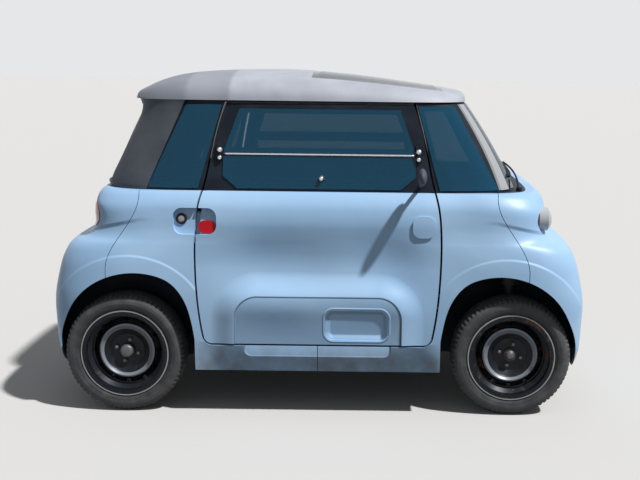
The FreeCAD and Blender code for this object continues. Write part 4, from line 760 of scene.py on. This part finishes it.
# Door seals and wiper. A round rubber seal under the header closes the gap over each door. One wiper is parked
# along the foot of the windscreen: a pressed arm on a capped spindle, and a rubber blade that lies on the glass.
for side, word in ((1, "left"), (-1, "right")):
    xs = np.linspace(-0.41, 0.41, 50)
    hits = [nodes[f"door_frame_{word}"].ray_cast(Vector((at, 0, 1.362)), Vector((0, side, 0))) for at in xs]
    # A line that misses the header takes its place from the ones beside it.
    met = np.array([(at, abs(place.y)) for at, (found, place, normal, face) in zip(xs, hits) if found])
    inside = np.interp(xs, met[:, 0], met[:, 1])
    path = np.stack([xs, side * (inside - 0.009), np.full(len(xs), 1.3765)], axis=-1)
    seal = bar_along(f"door_seal_{word}", path, (0, 0, 1), 0.0075, 0.0080)
    fit(seal, rubber, "root")
PIVOT = np.array([0.892, -0.470, 1.004])
share = np.linspace(0, 1, 40)
starts = [(1.4, 0.60 * part - 0.44, 1.052 + 0.030 * math.sin(math.pi * part)) for part in share]
foot, facing = np.swapaxes([line_hit("windscreen", start, (-1, 0, 0)) for start in starts], 0, 1)
blade = bar_along("wiper_blade", foot + facing * 0.0080, facing[20], 0.0045, 0.0075, square=4)
middle = foot[20] + facing[20] * 0.0190
lift = np.outer(np.sin(np.pi * share), (0.014, 0, 0.010))
bend = PIVOT + np.outer(share, middle - PIVOT) + lift
arm = bar_along("wiper_arm", bend, facing[20], 0.0085, 0.0050, square=4, taper=0.45)
stem = [PIVOT + (0, 0, level) for level in (-0.022, -0.01, 0, 0.008)]
spindle = bar_along("wiper_spindle", stem, (0, 1, 0), 0.013, 0.013)
for piece in (blade, arm, spindle):
    fit(piece, trim, "root")


# Seat cushions. Foam under a woven cover with two sewn channels. Each is inflated as cloth from its cut shape and
# then subdivided, so that its faces crown and its sides pull in. It stays flat where it rests on its shell.
def separate_solids(mesh):
    """Merged copies of the closed solids in one mesh, found by walking from face to face."""
    whole = bmesh.new()
    whole.from_mesh(mesh)
    bmesh.ops.remove_doubles(whole, verts=whole.verts, dist=MERGE_DISTANCE)
    whole.verts.index_update()
    whole.faces.index_update()
    left = set(whole.faces)
    found = []
    while left:
        group = [left.pop()]
        for face in group:
            near = {other for edge in face.edges for other in edge.link_faces if other in left}
            left -= near
            group.extend(near)
        corners = sorted({corner for face in group for corner in face.verts}, key=lambda corner: corner.index)
        place = {corner: at for at, corner in enumerate(corners)}
        group.sort(key=lambda face: face.index)
        faces = [[place[corner] for corner in face.verts] for face in group]
        solid = bpy.data.meshes.new("cut_cushion")
        solid.from_pydata([tuple(corner.co) for corner in corners], [], faces)
        found.append(solid)
    whole.free()
    return sorted(found, key=lambda solid: tuple(np.round(read_vectors(solid.vertices, "co").min(axis=0), 3)))


def baked(piece):
    """Mesh of a piece with its modifiers applied."""
    scene_graph = bpy.context.evaluated_depsgraph_get()
    return bpy.data.meshes.new_from_object(piece.evaluated_get(scene_graph))


fabric = Finish("seat_fabric", (0.03, 0.03, 0.034), 0.9)
weave = fabric.noise(420, 2)
fabric.put("Base Color", fabric.mix((0.026, 0.026, 0.030), (0.06, 0.06, 0.066), weave.step(0.4, 0.6)))
fabric.bump(weave, 0.0006)
DRAWN_IN = 0.007
MOST_FILLED = 0.017
SEAT_Y = 0.285
CHANNEL_Y = 0.110
CHANNEL_DEPTH = 0.006
pads = []
for solid in separate_solids(nodes["seat_cushions"].data):
    corners = read_vectors(solid.vertices, "co")
    low, high = corners.min(axis=0), corners.max(axis=0)
    kind = "back" if high[2] - low[2] > 0.3 else "base"
    word = "left" if low[1] > 0 else "right"
    piece = placed(f"{kind}_cushion_{word}", solid)
    remesh = piece.modifiers.new("even", "REMESH")
    remesh.mode = "VOXEL"
    remesh.voxel_size = 0.0075
    smooth = piece.modifiers.new("round", "SMOOTH")
    smooth.factor = 0.5
    smooth.iterations = 12
    shrink = piece.modifiers.new("draw_in", "DISPLACE")
    shrink.strength = -DRAWN_IN
    shrink.mid_level = 0
    cut = baked(piece)
    piece.modifiers.clear()
    piece.data = cut
    pads.append((piece, kind, read_vectors(cut.vertices, "co"), read_vectors(cut.vertex_normals, "vector")))
for piece, kind, start, facing in pads:
    cloth = piece.modifiers.new("fill", "CLOTH")
    cloth.settings.quality = 5
    cloth.settings.use_pressure = True
    cloth.settings.uniform_pressure_force = 4
    cloth.settings.effector_weights.gravity = 0
for moment in range(1, 21):
    bpy.context.scene.frame_set(moment)
for piece, kind, start, facing in pads:
    filled = read_vectors(baked(piece).vertices, "co")
    piece.modifiers.clear()
    step = filled - start
    far = np.maximum(np.linalg.norm(step, axis=1), 0.000001)
    resting = -facing[:, 2] if kind == "base" else -facing[:, 0]
    cap = np.where(resting > 0.5, DRAWN_IN * 0.9, MOST_FILLED)
    points = start + step * np.minimum(1, cap / far)[:, None]
    piece.data.vertices.foreach_set("co", points.ravel())
    finer = piece.modifiers.new("finer", "SUBSURF")
    finer.levels = 1
    finer.render_levels = 1
    piece.data = baked(piece)
    piece.modifiers.clear()
    points = read_vectors(piece.data.vertices, "co")
    facing = read_vectors(piece.data.vertex_normals, "vector")
    across = np.abs(points[:, 1]) - SEAT_Y
    channel = np.exp(-(((np.abs(across) - CHANNEL_Y) / 0.0055) ** 2))
    front = np.clip(facing[:, 2] if kind == "base" else facing[:, 0], 0, 1)
    points = points - facing * (CHANNEL_DEPTH * channel * front)[:, None]
    piece.data.vertices.foreach_set("co", points.ravel())
    piece.data.polygons.foreach_set("use_smooth", np.ones(len(piece.data.polygons), bool))
    fit(piece, fabric, "root")
    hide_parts("seat_cushions")
